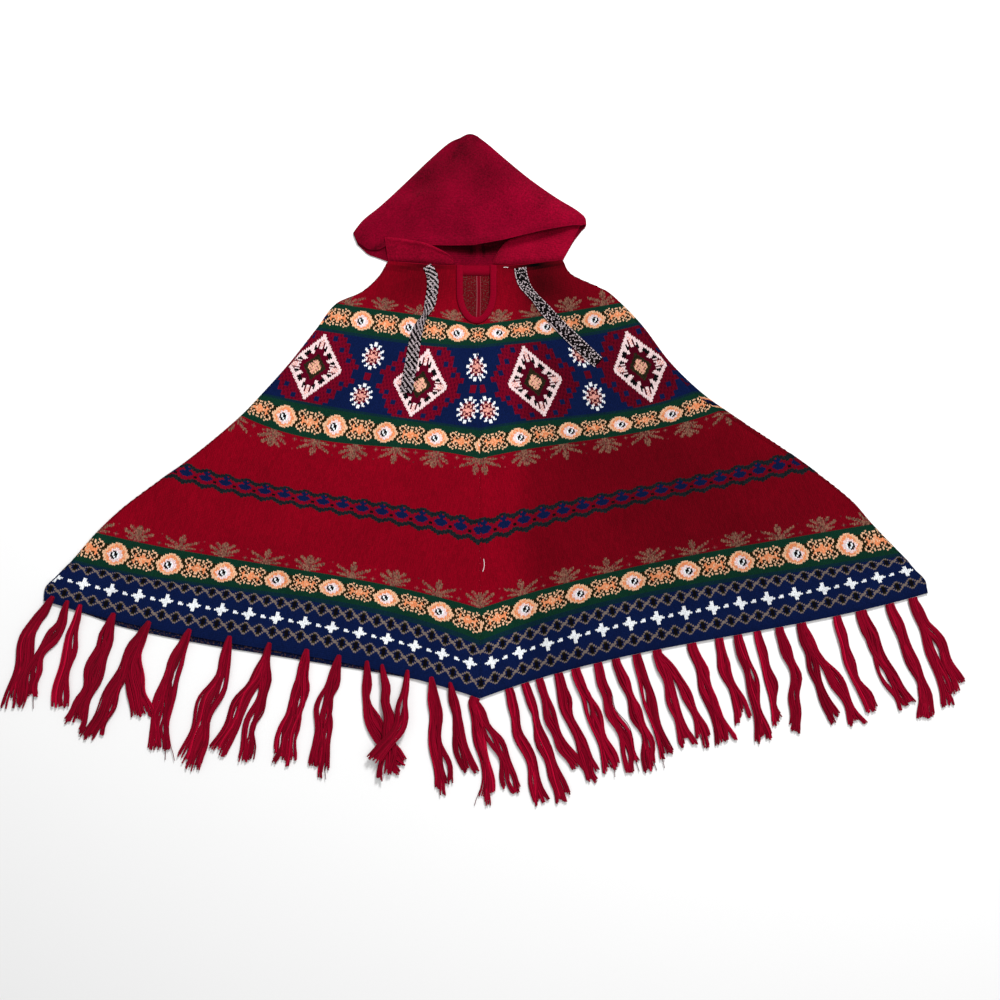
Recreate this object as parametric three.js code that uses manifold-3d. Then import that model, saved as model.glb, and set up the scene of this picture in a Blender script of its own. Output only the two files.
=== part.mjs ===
// A hooded, fringed knitted poncho cape, laid flat on a table with its front up.
// Millimetres. Before it is centred, x runs from the centre front seam to the wearer's left,
// y from the point of the front hem to the hood, and z up from the table.
import * as THREE from "three";
import { mergeVertices } from "three/addons/utils/BufferGeometryUtils.js";
import Module from "manifold-3d";

const wasm = await Module();
wasm.setup();

// Driving dimensions
const WALL = 2.0; // thickness of the knitted cloth
const SEAM_GAP = 0.3; // room between two pieces that are sewn together
const FRONT_LIFT = WALL + SEAM_GAP; // underside of the front panels, on the back ones
const RED = 0x96001f;
const RED_PINK = 0x9b0528;
const RED_YARN = 0x8c0523;
const GREY_TAPE = 0x6d6a70;

// Lines that the knitted courses follow, one row for each: heights (y) at the centre seam, a third
// and two thirds of the way out, and at the side seam, with the reach (x) of that seam, on each side.
// roll is how far the back panel wraps round to the front there.
const COURSES = [
  {
    name: "neck seam", centre: 757,
    left: { inner: 757, outer: 760, edge: 764, reach: 161, roll: 3 },
    right: { inner: 757, outer: 761, edge: 765, reach: 145, roll: 3 },
  },
  {
    name: "shoulder", centre: 711,
    left: { inner: 716, outer: 724, edge: 733, reach: 181, roll: 3 },
    right: { inner: 719, outer: 729, edge: 739, reach: 164, roll: 3 },
  },
  {
    name: "yoke", centre: 679,
    left: { inner: 686, outer: 697, edge: 709, reach: 210, roll: 4 },
    right: { inner: 688, outer: 701, edge: 714, reach: 218, roll: 4 },
  },
  {
    name: "upper flower band", centre: 653,
    left: { inner: 667, outer: 678, edge: 690, reach: 251, roll: 4 },
    right: { inner: 664, outer: 677, edge: 691, reach: 246, roll: 5 },
  },
  {
    name: "diamond band", centre: 617,
    left: { inner: 622, outer: 634, edge: 648, reach: 284, roll: 5 },
    right: { inner: 627, outer: 638, edge: 657, reach: 279, roll: 6 },
  },
  {
    name: "middle of the diamonds", centre: 541,
    left: { inner: 549, outer: 567, edge: 587, reach: 332, roll: 5 },
    right: { inner: 555, outer: 570, edge: 589, reach: 331, roll: 9 },
  },
  {
    name: "middle flower band", centre: 469,
    left: { inner: 486, outer: 505, edge: 530, reach: 383, roll: 5 },
    right: { inner: 487, outer: 501, edge: 534, reach: 388, roll: 14 },
  },
  {
    name: "upper plain ground", centre: 420,
    left: { inner: 439, outer: 452, edge: 494, reach: 418, roll: 5 },
    right: { inner: 445, outer: 466, edge: 503, reach: 431, roll: 15 },
  },
  {
    name: "zigzag band", centre: 317,
    left: { inner: 346, outer: 373, edge: 413, reach: 516, roll: 5 },
    right: { inner: 354, outer: 388, edge: 430, reach: 541, roll: 13 },
  },
  {
    name: "lower plain ground", centre: 269,
    left: { inner: 310, outer: 343, edge: 385, reach: 556, roll: 5 },
    right: { inner: 320, outer: 360, edge: 396, reach: 588, roll: 9 },
  },
  {
    name: "middle of the plain ground", centre: 214,
    left: { inner: 263, outer: 293, edge: 338, reach: 619, roll: 5 },
    right: { inner: 270, outer: 313, edge: 351, reach: 644, roll: 6 },
  },
  {
    name: "lower flower band", centre: 160,
    left: { inner: 212, outer: 248, edge: 291, reach: 669, roll: 5 },
    right: { inner: 223, outer: 268, edge: 306, reach: 684, roll: 5 },
  },
  {
    name: "cross band", centre: 104,
    left: { inner: 170, outer: 202, edge: 244, reach: 710, roll: 4 },
    right: { inner: 178, outer: 220, edge: 256, reach: 732, roll: 4 },
  },
  {
    name: "last courses", centre: 20,
    left: { inner: 88, outer: 130, edge: 188, reach: 765, roll: 3 },
    right: { inner: 94, outer: 143, edge: 203, reach: 782, roll: 3 },
  },
  {
    name: "hem", centre: 3,
    left: { inner: 68, outer: 112, edge: 173, reach: 760, roll: 3 },
    right: { inner: 78, outer: 127, edge: 186, reach: 780, roll: 3 },
  },
];
const HEM = COURSES.length - 1;
const PANEL_COLUMNS = 10;
const STEPS_BETWEEN_COURSES = [3, 3, 4, 1, 1, 1, 1, 2, 1, 1, 1, 1, 2, 1];

// The back hem shows below the front one on the left side: how far, from the centre to the side seam.
const BACK_PEEK = [
  { across: 0, left: -3, right: -3 },
  { across: 0.1, left: -2, right: -3 },
  { across: 0.22, left: 4, right: -3 },
  { across: 0.34, left: 8, right: -3 },
  { across: 0.6, left: 10, right: -3 },
  { across: 0.82, left: 9, right: -3 },
  { across: 0.92, left: 0, right: -2 },
  { across: 1, left: 0, right: 0 },
];
// The back neckline is scooped: how far below the front's top edge it runs.
const BACK_NECK_DROP = 18;
// The wrapped side edge of the back: how far its round goes out, and the least that lies on the front.
const WRAP_OUT = 0.8 * WALL;
const WRAP_IN = 0.1;
const LEAST_WRAP = 0.4;

// Soft swells in the laid cloth. turn is the angle of the swell's length from x, in degrees.
const SWELLS = [
  { x: -165, y: 395, length: 210, width: 62, height: 4.5, turn: 62 },
  { x: -330, y: 255, length: 170, width: 58, height: 5.5, turn: 48 },
  { x: -560, y: 250, length: 90, width: 45, height: 4.0, turn: 52 },
  { x: -60, y: 215, length: 120, width: 48, height: 4.0, turn: 84 },
  { x: 110, y: 330, length: 190, width: 60, height: 6.0, turn: -68 },
  { x: 300, y: 330, length: 200, width: 66, height: 5.0, turn: -50 },
  { x: 520, y: 280, length: 130, width: 50, height: 5.5, turn: -38 },
  { x: 175, y: 560, length: 90, width: 42, height: 3.5, turn: -55 },
  { x: -215, y: 590, length: 80, width: 40, height: 3.0, turn: 50 },
  { x: -90, y: 670, length: 45, width: 28, height: 3.0, turn: 75 },
];

// The slit at the front neck and its rib binding
const SLIT = { x: -6, halfWidth: 35, roundFrom: 711, foot: 655 };
const BINDING = { width: 11.5, height: 4.6 };
const SEAM_STRAIGHT_BELOW = 540; // from here up the centre seam leans to the slit's foot

// Height that the swells add at a place on the front.
function swell(x, y) {
  let sum = 0;
  for (const s of SWELLS) {
    const turn = (s.turn * Math.PI) / 180;
    const along = (x - s.x) * Math.cos(turn) + (y - s.y) * Math.sin(turn);
    const aside = -(x - s.x) * Math.sin(turn) + (y - s.y) * Math.cos(turn);
    sum += s.height * Math.exp(-((along / s.length) ** 2) - (aside / s.width) ** 2);
  }
  return sum;
}

const frontUnder = (x, y) => FRONT_LIFT + swell(x, y);
const frontTop = (x, y) => frontUnder(x, y) + WALL;

const mix = (a, b, t) => a + (b - a) * t;

// Curve through four heights at 0, 1/3, 2/3 and 1 of the way.
function throughFour(t, p0, p1, p2, p3) {
  const a = ((t - 1 / 3) * (t - 2 / 3) * (t - 1)) / (-2 / 9);
  const b = (t * (t - 2 / 3) * (t - 1)) / (2 / 27);
  const c = (t * (t - 1 / 3) * (t - 1)) / (-2 / 27);
  const d = (t * (t - 1 / 3) * (t - 2 / 3)) / (2 / 9);
  return a * p0 + b * p1 + c * p2 + d * p3;
}

// The value in a named column of a table, at a place between its rows.
function lookUp(table, key, column, at) {
  let i = 1;
  while (i < table.length - 1 && table[i][key] < at) i += 1;
  const [a, b] = [table[i - 1], table[i]];
  const t = Math.min(1, Math.max(0, (at - a[key]) / (b[key] - a[key])));
  return mix(a[column], b[column], t);
}

// Half the slit's width at a height, measured over the binding.
function slitHalfWidth(y) {
  const down = Math.min(1, Math.max(0, (SLIT.roundFrom - y) / (SLIT.roundFrom - SLIT.foot)));
  return SLIT.halfWidth * Math.sqrt(Math.max(0, 1 - down * down));
}

// Where the centre seam runs at a height.
function seamX(y) {
  return SLIT.x * Math.min(1, Math.max(0, (y - SEAM_STRAIGHT_BELOW) / (SLIT.foot - SEAM_STRAIGHT_BELOW)));
}

// A place on a course: across is 0 at the centre and 1 at the side seam, course counts the rows of
// COURSES, and inset holds the side seam back from the outline.
function onCourse(side, across, course, inset, centreX) {
  const i = Math.min(HEM - 1, Math.floor(course));
  const t = course - i;
  const key = side < 0 ? "left" : "right";
  const [a, b] = [COURSES[i], COURSES[i + 1]];
  const pick = (column) => mix(a[key][column], b[key][column], t);
  const centre = mix(a.centre, b.centre, t);
  const y = throughFour(across, centre, pick("inner"), pick("outer"), pick("edge"));
  const reach = side * (pick("reach") - inset(pick("roll")));
  return { x: mix(centreX(side, centre), reach, across), y };
}

// A closed body from two grids of points that face each other, as the two faces of a cloth.
function wallBetween(upper, under) {
  const rows = upper.length;
  const columns = upper[0].length;
  const points = [...upper.flat(), ...under.flat()];
  const id = (layer, r, c) => layer * rows * columns + r * columns + c;
  const faces = [];
  const quad = (a, b, c, d) => faces.push(a, b, c, a, c, d);
  for (let r = 0; r + 1 < rows; r += 1) {
    for (let c = 0; c + 1 < columns; c += 1) {
      quad(id(0, r, c), id(0, r, c + 1), id(0, r + 1, c + 1), id(0, r + 1, c));
      quad(id(1, r, c), id(1, r + 1, c), id(1, r + 1, c + 1), id(1, r, c + 1));
    }
  }
  for (let r = 0; r + 1 < rows; r += 1) {
    quad(id(0, r, 0), id(0, r + 1, 0), id(1, r + 1, 0), id(1, r, 0));
    const last = columns - 1;
    quad(id(0, r + 1, last), id(0, r, last), id(1, r, last), id(1, r + 1, last));
  }
  for (let c = 0; c + 1 < columns; c += 1) {
    quad(id(0, 0, c + 1), id(0, 0, c), id(1, 0, c), id(1, 0, c + 1));
    quad(id(0, rows - 1, c), id(0, rows - 1, c + 1), id(1, rows - 1, c + 1), id(1, rows - 1, c));
  }
  return bodyFrom(points, faces);
}

// A closed tube from rings of points, with a flat cap at each end.
function tubeFrom(rings) {
  const sides = rings[0].length;
  const faces = [];
  for (let r = 0; r + 1 < rings.length; r += 1) {
    for (let k = 0; k < sides; k += 1) {
      const [a, b] = [r * sides + k, r * sides + ((k + 1) % sides)];
      faces.push(a, b, b + sides, a, b + sides, a + sides);
    }
  }
  const last = (rings.length - 1) * sides;
  for (let k = 1; k + 1 < sides; k += 1) {
    faces.push(0, k + 1, k);
    faces.push(last, last + k, last + k + 1);
  }
  return bodyFrom(rings.flat(), faces);
}

// Geometry from points and triangles, turned so that its faces point outwards.
function bodyFrom(points, faces) {
  let volume = 0;
  for (let i = 0; i < faces.length; i += 3) {
    const [a, b, c] = [points[faces[i]], points[faces[i + 1]], points[faces[i + 2]]];
    volume += a.dot(new THREE.Vector3().crossVectors(b, c));
  }
  if (volume < 0) {
    for (let i = 0; i < faces.length; i += 3) {
      [faces[i + 1], faces[i + 2]] = [faces[i + 2], faces[i + 1]];
    }
  }
  const numbers = points.flatMap((p) => p.toArray());
  const geometry = new THREE.BufferGeometry();
  geometry.setAttribute("position", new THREE.Float32BufferAttribute(numbers, 3));
  geometry.setIndex(faces);
  return geometry;
}

// Several closed bodies joined into one.
const SAME_POINT = 1e-4; // corners nearer than this are one
function joined(bodies) {
  let whole = null;
  for (const body of bodies) {
    const merged = mergeVertices(body, SAME_POINT);
    const mesh = new wasm.Mesh({
      numProp: 3,
      vertProperties: new Float32Array(merged.attributes.position.array),
      triVerts: new Uint32Array(merged.index.array),
    });
    const solid = new wasm.Manifold(mesh);
    whole = whole ? whole.add(solid) : solid;
  }
  const out = whole.getMesh();
  const geometry = new THREE.BufferGeometry();
  geometry.setAttribute("position", new THREE.Float32BufferAttribute(out.vertProperties, 3));
  geometry.setIndex(Array.from(out.triVerts));
  return geometry;
}

const group = new THREE.Group();

function addPiece(name, geometry, colour, roughness = 0.95) {
  const material = new THREE.MeshStandardMaterial({ color: colour, roughness, metalness: 0 });
  const mesh = new THREE.Mesh(geometry, material);
  mesh.name = name;
  group.add(mesh);
}

// The course numbers at which a panel's rows of points lie. The front has more round the slit.
const FIRST_WHOLE_COURSE = 3; // the first course that runs right across, under the slit
const frontRows = [0];
const backRows = [0];
STEPS_BETWEEN_COURSES.forEach((steps, i) => {
  for (let k = 1; k <= steps; k += 1) frontRows.push(i + k / steps);
  const backSteps = i < FIRST_WHOLE_COURSE ? 1 : steps;
  for (let k = 1; k <= backSteps; k += 1) backRows.push(i + k / backSteps);
});

// One half of the front, with its part of the neck slit.
function frontPanel(side) {
  const centreX = (s, y) => {
    const half = slitHalfWidth(y);
    return seamX(y) + s * (half > 0 ? half + SEAM_GAP : SEAM_GAP / 2);
  };
  const inset = (roll) => roll + SEAM_GAP;
  const grids = [[], []];
  for (const course of frontRows) {
    const line = [];
    for (let c = 0; c <= PANEL_COLUMNS; c += 1) {
      line.push(onCourse(side, c / PANEL_COLUMNS, course, inset, centreX));
    }
    grids[0].push(line.map((p) => new THREE.Vector3(p.x, p.y, frontTop(p.x, p.y))));
    grids[1].push(line.map((p) => new THREE.Vector3(p.x, p.y, frontUnder(p.x, p.y))));
  }
  return wallBetween(...grids);
}

// One half of the back. It lies flat, and its side edge wraps round to meet the front.
function backPanel(side) {
  const centreX = (s) => (s * SEAM_GAP) / 2;
  const key = side < 0 ? "left" : "right";
  const faceOut = [];
  const faceIn = [];
  for (const course of backRows) {
    const i = Math.min(HEM - 1, Math.floor(course));
    const roll = mix(COURSES[i][key].roll, COURSES[i + 1][key].roll, course - i);
    const peekShare = Math.max(0, course - (HEM - 2)) / 2;
    const dropShare = Math.max(0, 1 - course / 2);
    const [outRow, inRow] = [[], []];
    for (let c = 0; c <= PANEL_COLUMNS; c += 1) {
      const across = c / PANEL_COLUMNS;
      const p = onCourse(side, across, course, () => WALL, centreX);
      const drop = BACK_NECK_DROP * dropShare * (1 - across * across);
      const y = p.y - drop - peekShare * lookUp(BACK_PEEK, "across", key, across);
      outRow.push(new THREE.Vector3(p.x, y, 0));
      inRow.push(new THREE.Vector3(p.x, y, WALL));
    }
    const edge = outRow[PANEL_COLUMNS];
    const top = 2 * WALL + SEAM_GAP;
    const foldEnd = edge.x - side * Math.max(LEAST_WRAP, roll - WALL);
    outRow.push(new THREE.Vector3(edge.x + side * WRAP_OUT, edge.y, WALL / 2));
    inRow.push(new THREE.Vector3(edge.x + side * WRAP_IN, edge.y, WALL + WRAP_IN));
    outRow.push(new THREE.Vector3(edge.x + side * WRAP_OUT, edge.y, top - WALL / 2));
    inRow.push(new THREE.Vector3(edge.x + side * WRAP_IN, edge.y, top - WALL - WRAP_IN / 2));
    outRow.push(new THREE.Vector3(edge.x, edge.y, top));
    inRow.push(new THREE.Vector3(edge.x, edge.y, top - WALL));
    outRow.push(new THREE.Vector3(foldEnd, edge.y, top));
    inRow.push(new THREE.Vector3(foldEnd, edge.y, top - WALL));
    faceOut.push(outRow);
    faceIn.push(inRow);
  }
  return wallBetween(faceOut, faceIn);
}

addPiece("back_left", backPanel(-1), RED);
addPiece("back_right", backPanel(1), RED);
addPiece("front_left", frontPanel(-1), RED);
addPiece("front_right", frontPanel(1), RED);

// Rib binding round the neck slit: a soft, round-topped strip that follows the slit's edge.
function slitBinding() {
  const heights = frontRows.filter((course) => course < FIRST_WHOLE_COURSE).map((course) => {
    const i = Math.floor(course);
    return mix(COURSES[i].centre, COURSES[i + 1].centre, course - i);
  });
  const drop = SLIT.roundFrom - SLIT.foot;
  const edge = (side) => (y) => {
    const x = side * slitHalfWidth(y);
    const below = Math.max(0, SLIT.roundFrom - y);
    const out = new THREE.Vector2(x / SLIT.halfWidth ** 2, -below / drop ** 2).normalize();
    return { x, y, nx: out.x, ny: out.y };
  };
  const bottom = { x: 0, y: SLIT.foot, nx: 0, ny: -1 };
  const line = [...heights.map(edge(-1)), bottom, ...heights.reverse().map(edge(1))];
  const section = [
    { out: 0, up: 0 },
    { out: 0, up: 0.6 },
    { out: 0.3, up: 1 },
    { out: 0.7, up: 1 },
    { out: 1, up: 0.6 },
    { out: 1, up: 0 },
  ];
  const rings = line.map((p) =>
    section.map(({ out, up }) => {
      const inward = (1 - out) * BINDING.width;
      const [x, y] = [SLIT.x + p.x - p.nx * inward, p.y - p.ny * inward];
      return new THREE.Vector3(x, y, frontUnder(x, y) + up * BINDING.height);
    }),
  );
  return tubeFrom(rings);
}
addPiece("slit_binding", slitBinding(), RED_PINK);

// Rib band at the back of the neck, between the back panels and the hood.
const NECK_BAND = { left: -150, right: 134, depth: 19.3, endDepth: 0.5, thickness: 2.1, columns: 12 };
function neckBand() {
  const [upper, under] = [[[], []], [[], []]];
  for (let c = 0; c <= NECK_BAND.columns; c += 1) {
    const x = mix(NECK_BAND.left, NECK_BAND.right, c / NECK_BAND.columns);
    const side = x < 0 ? -1 : 1;
    const across = Math.abs(x) / (COURSES[0][side < 0 ? "left" : "right"].reach - WALL);
    const front = onCourse(side, across, 0, () => WALL, () => 0).y;
    const bottom = front - BACK_NECK_DROP * (1 - across * across) + 2 * SEAM_GAP;
    const top = bottom + mix(NECK_BAND.depth, NECK_BAND.endDepth, across * across);
    [bottom, top].forEach((y, r) => {
      upper[r].push(new THREE.Vector3(x, y, NECK_BAND.thickness));
      under[r].push(new THREE.Vector3(x, y, 0));
    });
  }
  return wallBetween(upper, under);
}
addPiece("neck_band", neckBand(), RED_PINK);

// The hood is one piece of cloth folded in two and sewn up its back. Laid down it is a flat bag, with
// its mouth towards the neck. Its sides, from the crown to the mouth:
const HOOD_SIDES = [
  { down: 0, leftX: -33, leftY: 979, rightX: -4, rightY: 981 },
  { down: 0.12, leftX: -52, leftY: 971, rightX: 14, rightY: 968 },
  { down: 0.3, leftX: -84, leftY: 944, rightX: 45, rightY: 943 },
  { down: 0.5, leftX: -125, leftY: 905, rightX: 86, rightY: 912 },
  { down: 0.72, leftX: -172, leftY: 861, rightX: 136, rightY: 885 },
  { down: 0.88, leftX: -204, leftY: 835, rightX: 176, rightY: 864 },
  { down: 1, leftX: -221, leftY: 813, rightX: 186, rightY: 842 },
];
// Its mouth, from the left corner to the right: how far the front rim and the edge sewn to the neck hang
// below the line between the corners, and how high the rim stands off the layer under it.
const HOOD_MOUTH = [
  { across: 0, rim: 0, nape: 0, lift: 0 },
  { across: 0.02, rim: 17, nape: 20, lift: 0 },
  { across: 0.065, rim: 31, nape: 38, lift: 0.2 },
  { across: 0.11, rim: 33, nape: 45, lift: 0.3 },
  { across: 0.145, rim: 26, nape: 51, lift: 0.4 },
  { across: 0.24, rim: 26, nape: 57, lift: 0.8 },
  { across: 0.33, rim: 31, nape: 60, lift: 1.5 },
  { across: 0.42, rim: 35, nape: 64, lift: 4.5 },
  { across: 0.515, rim: 38, nape: 67.5, lift: 8.5 },
  { across: 0.64, rim: 33, nape: 71.5, lift: 11 },
  { across: 0.8, rim: 22, nape: 72, lift: 11 },
  { across: 0.9, rim: 16.5, nape: 71, lift: 8 },
  { across: 0.945, rim: 14.5, nape: 40, lift: 5 },
  { across: 0.98, rim: 15, nape: 23, lift: 2 },
  { across: 1, rim: 13, nape: 15, lift: 0.5 },
];
const HOOD_HANG_BEND = 1.6; // how late on its way down the mouth's hang sets in
const CROWN_PUFF = { height: 2.5, reach: 1.1 }; // the upper layer stands up most just above its middle
const HOOD_ROWS = [0, 0.06, 0.16, 0.3, 0.45, 0.6, 0.74, 0.86, 0.94, 1];
const HOOD_ACROSS = [0.02, 0.065, 0.145, 0.24, 0.33, 0.42, 0.515, 0.64, 0.72, 0.8, 0.9, 0.945, 0.98];

// A place in the hood: layer is "rim" for the upper layer and "nape" for the lower one.
function hoodPlace(across, down, layer) {
  const side = (column) => lookUp(HOOD_SIDES, "down", column, down);
  const hang = lookUp(HOOD_MOUTH, "across", layer, across) * down ** HOOD_HANG_BEND;
  const x = mix(side("leftX"), side("rightX"), across);
  return { x, y: mix(side("leftY"), side("rightY"), across) - hang };
}
function hoodTop(across, down) {
  const lift = lookUp(HOOD_MOUTH, "across", "lift", across) * down ** 2;
  const puffDown = Math.sin(Math.PI * Math.min(1, down * CROWN_PUFF.reach));
  const crownPuff = CROWN_PUFF.height * Math.sin(Math.PI * across) * puffDown;
  return 2 * WALL + 2 * SEAM_GAP + lift + Math.max(0, crownPuff);
}

// One ring round the bag's cloth, on its outside or its inside.
function hoodRing(down, inside) {
  const ring = [];
  const inset = inside ? WALL : 0;
  const fold = (across, way) => {
    const p = hoodPlace(across, down, "nape");
    const q = hoodPlace(across, down, "rim");
    const half = hoodTop(across, down) / 2;
    return new THREE.Vector3((p.x + q.x) / 2 - way * inset, (p.y + q.y) / 2, half);
  };
  for (const across of HOOD_ACROSS) {
    const p = hoodPlace(across, down, "nape");
    ring.push(new THREE.Vector3(p.x, p.y, inset));
  }
  ring.push(fold(1, 1));
  for (const across of [...HOOD_ACROSS].reverse()) {
    const p = hoodPlace(across, down, "rim");
    ring.push(new THREE.Vector3(p.x, p.y, hoodTop(across, down) - inset));
  }
  ring.push(fold(0, -1));
  return ring;
}

// A bag: an outer and an inner skin, each closed at the crown and joined to the other round the mouth.
function hoodBag() {
  const outer = HOOD_ROWS.map((down) => hoodRing(down, false));
  const innerRows = HOOD_ROWS.slice(1);
  const inner = innerRows.map((down) => hoodRing(down, true));
  const sides = outer[0].length;
  const points = [...outer.flat(), ...inner.flat()];
  const faces = [];
  const skin = (first, rings, turned) => {
    for (let r = 0; r + 1 < rings; r += 1) {
      for (let k = 0; k < sides; k += 1) {
        const a = first + r * sides + k;
        const b = first + r * sides + ((k + 1) % sides);
        const quad = [a, b, b + sides, a, b + sides, a + sides];
        faces.push(...(turned ? quad.reverse() : quad));
      }
    }
    // The crown is closed by a strip between the lower and the upper layer.
    for (let k = 0; k < sides / 2 - 1; k += 1) {
      const [a, b] = [first + k, first + k + 1];
      const [c, d] = [first + sides - 2 - k, first + sides - 3 - k];
      const strip = k + 1 < sides / 2 - 1 ? [a, c, b, b, c, d] : [a, c, b];
      faces.push(...(turned ? strip.reverse() : strip));
    }
    const last = [first, first + sides - 1, first + sides - 2];
    faces.push(...(turned ? last.reverse() : last));
  };
  skin(0, outer.length, false);
  const firstInner = outer.length * sides;
  skin(firstInner, inner.length, true);
  const mouthOut = (outer.length - 1) * sides;
  const mouthIn = firstInner + (inner.length - 1) * sides;
  for (let k = 0; k < sides; k += 1) {
    const next = (k + 1) % sides;
    faces.push(mouthOut + k, mouthOut + next, mouthIn + next, mouthOut + k, mouthIn + next, mouthIn + k);
  }
  return bodyFrom(points, faces);
}
addPiece("hood", hoodBag(), RED_PINK);

// The two front corners of the hood, where it is sewn to the neckline. The left one lies over the hood's
// rim and the right one under it. Each row runs from the shoulder to the point at the slit.
const CORNERS = {
  left: [
    { across: 0, x: -160, seam: 764.6, top: 806, rise: 4.2 },
    { across: 0.3, x: -125, seam: 763, top: 801, rise: 4.4 },
    { across: 0.55, x: -95, seam: 760.5, top: 795, rise: 4.8 },
    { across: 0.75, x: -72, seam: 758.5, top: 785, rise: 5.2 },
    { across: 0.9, x: -54, seam: 758, top: 775, rise: 3 },
    { across: 1, x: -44, seam: 759, top: 765, rise: 1.5 },
  ],
  right: [
    { across: 0, x: 22, seam: 759, top: 764, rise: 0.1 },
    { across: 0.15, x: 32, seam: 758.2, top: 782, rise: 0.6 },
    { across: 0.3, x: 44, seam: 758, top: 797, rise: 1.4 },
    { across: 0.6, x: 88, seam: 761, top: 812, rise: 1.6 },
    { across: 0.85, x: 128, seam: 764, top: 818, rise: 1 },
    { across: 1, x: 145, seam: 766, top: 814, rise: 0.3 },
  ],
};
const CORNER_COLUMNS = 10;
const CORNER_ROWS = 4;
const CORNER_RISE_BEND = 0.7; // a corner rises quickly from its seam, then less
function hoodCorner(key) {
  const [upper, under] = [[], []];
  for (let r = 0; r <= CORNER_ROWS; r += 1) {
    const up = r / CORNER_ROWS;
    const [upperRow, underRow] = [[], []];
    for (let c = 0; c <= CORNER_COLUMNS; c += 1) {
      const at = (column) => lookUp(CORNERS[key], "across", column, c / CORNER_COLUMNS);
      const y = mix(at("seam"), at("top"), up);
      const z = FRONT_LIFT + at("rise") * up ** CORNER_RISE_BEND + swell(at("x"), y) * (1 - up);
      upperRow.push(new THREE.Vector3(at("x"), y, z + WALL));
      underRow.push(new THREE.Vector3(at("x"), y, z));
    }
    upper.push(upperRow);
    under.push(underRow);
  }
  return wallBetween(upper, under);
}
addPiece("hood_corner_left", hoodCorner("left"), RED_PINK);
addPiece("hood_corner_right", hoodCorner("right"), RED_PINK);

// The free ends of the hood's flat drawstring, down the middle of the tape: width is its width there, and
// tilt how far it stands on edge, from 0, flat, to 1.
const TAPE_THICKNESS = 1.4;
const TAPE_ROOM = 0.7; // the tape lies this far above the cloth, clear of its facets
const TIES = {
  left: [
    { x: -92, y: 755, width: 15, tilt: 0 },
    { x: -84, y: 741, width: 19, tilt: 0 },
    { x: -82, y: 722, width: 20, tilt: 0 },
    { x: -84, y: 703, width: 20, tilt: 0 },
    { x: -88, y: 685, width: 18, tilt: 0.2 },
    { x: -95, y: 669, width: 10, tilt: 0.5 },
    { x: -103, y: 655, width: 15, tilt: 0.25 },
    { x: -110, y: 638, width: 20, tilt: 0 },
    { x: -115, y: 612, width: 21, tilt: 0 },
    { x: -119, y: 587, width: 22, tilt: 0 },
    { x: -124, y: 560, width: 22, tilt: 0 },
    { x: -128, y: 535, width: 22, tilt: 0 },
  ],
  right: [
    { x: 70, y: 752, width: 21, tilt: 0 },
    { x: 72, y: 739, width: 21, tilt: 0 },
    { x: 77, y: 724, width: 20, tilt: 0 },
    { x: 85, y: 712, width: 16, tilt: 0.15 },
    { x: 94, y: 702, width: 15, tilt: 0.2 },
    { x: 110, y: 683, width: 19, tilt: 0 },
    { x: 136, y: 654, width: 21, tilt: 0 },
    { x: 160, y: 630, width: 22, tilt: 0 },
    { x: 184, y: 607, width: 22, tilt: 0 },
    { x: 206, y: 587, width: 21, tilt: 0 },
  ],
};
const TIE_STEPS = 18;
const TAPE_STAND = 8; // rise of the outer edge where the tape stands fully on edge
function tie(key) {
  const rows = TIES[key];
  const route = new THREE.CatmullRomCurve3(rows.map((p) => new THREE.Vector3(p.x, p.y, 0)));
  const widths = new THREE.CatmullRomCurve3(rows.map((p) => new THREE.Vector3(p.width, p.tilt, 0)));
  const rings = [];
  for (let k = 0; k <= TIE_STEPS; k += 1) {
    const t = k / TIE_STEPS;
    const p = route.getPoint(t);
    const ahead = route.getTangent(t);
    const w = widths.getPoint(t);
    const aside = new THREE.Vector3(-ahead.y, ahead.x, 0);
    const ring = [];
    for (const [edge, face] of [[-1, 0], [0, 0], [1, 0], [1, 1], [0, 1], [-1, 1]]) {
      const place = p.clone().addScaledVector(aside, (edge * w.x) / 2);
      const stand = ((edge + 1) / 2) * Math.max(0, w.y) * TAPE_STAND;
      const ground = Math.max(frontTop(place.x, place.y), frontTop(p.x, p.y));
      place.z = ground + TAPE_ROOM + stand + face * TAPE_THICKNESS;
      ring.push(place);
    }
    rings.push(ring);
  }
  return tubeFrom(rings);
}
addPiece("tie_left", tie("left"), GREY_TAPE, 0.85);
addPiece("tie_right", tie("right"), GREY_TAPE, 0.85);

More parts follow.
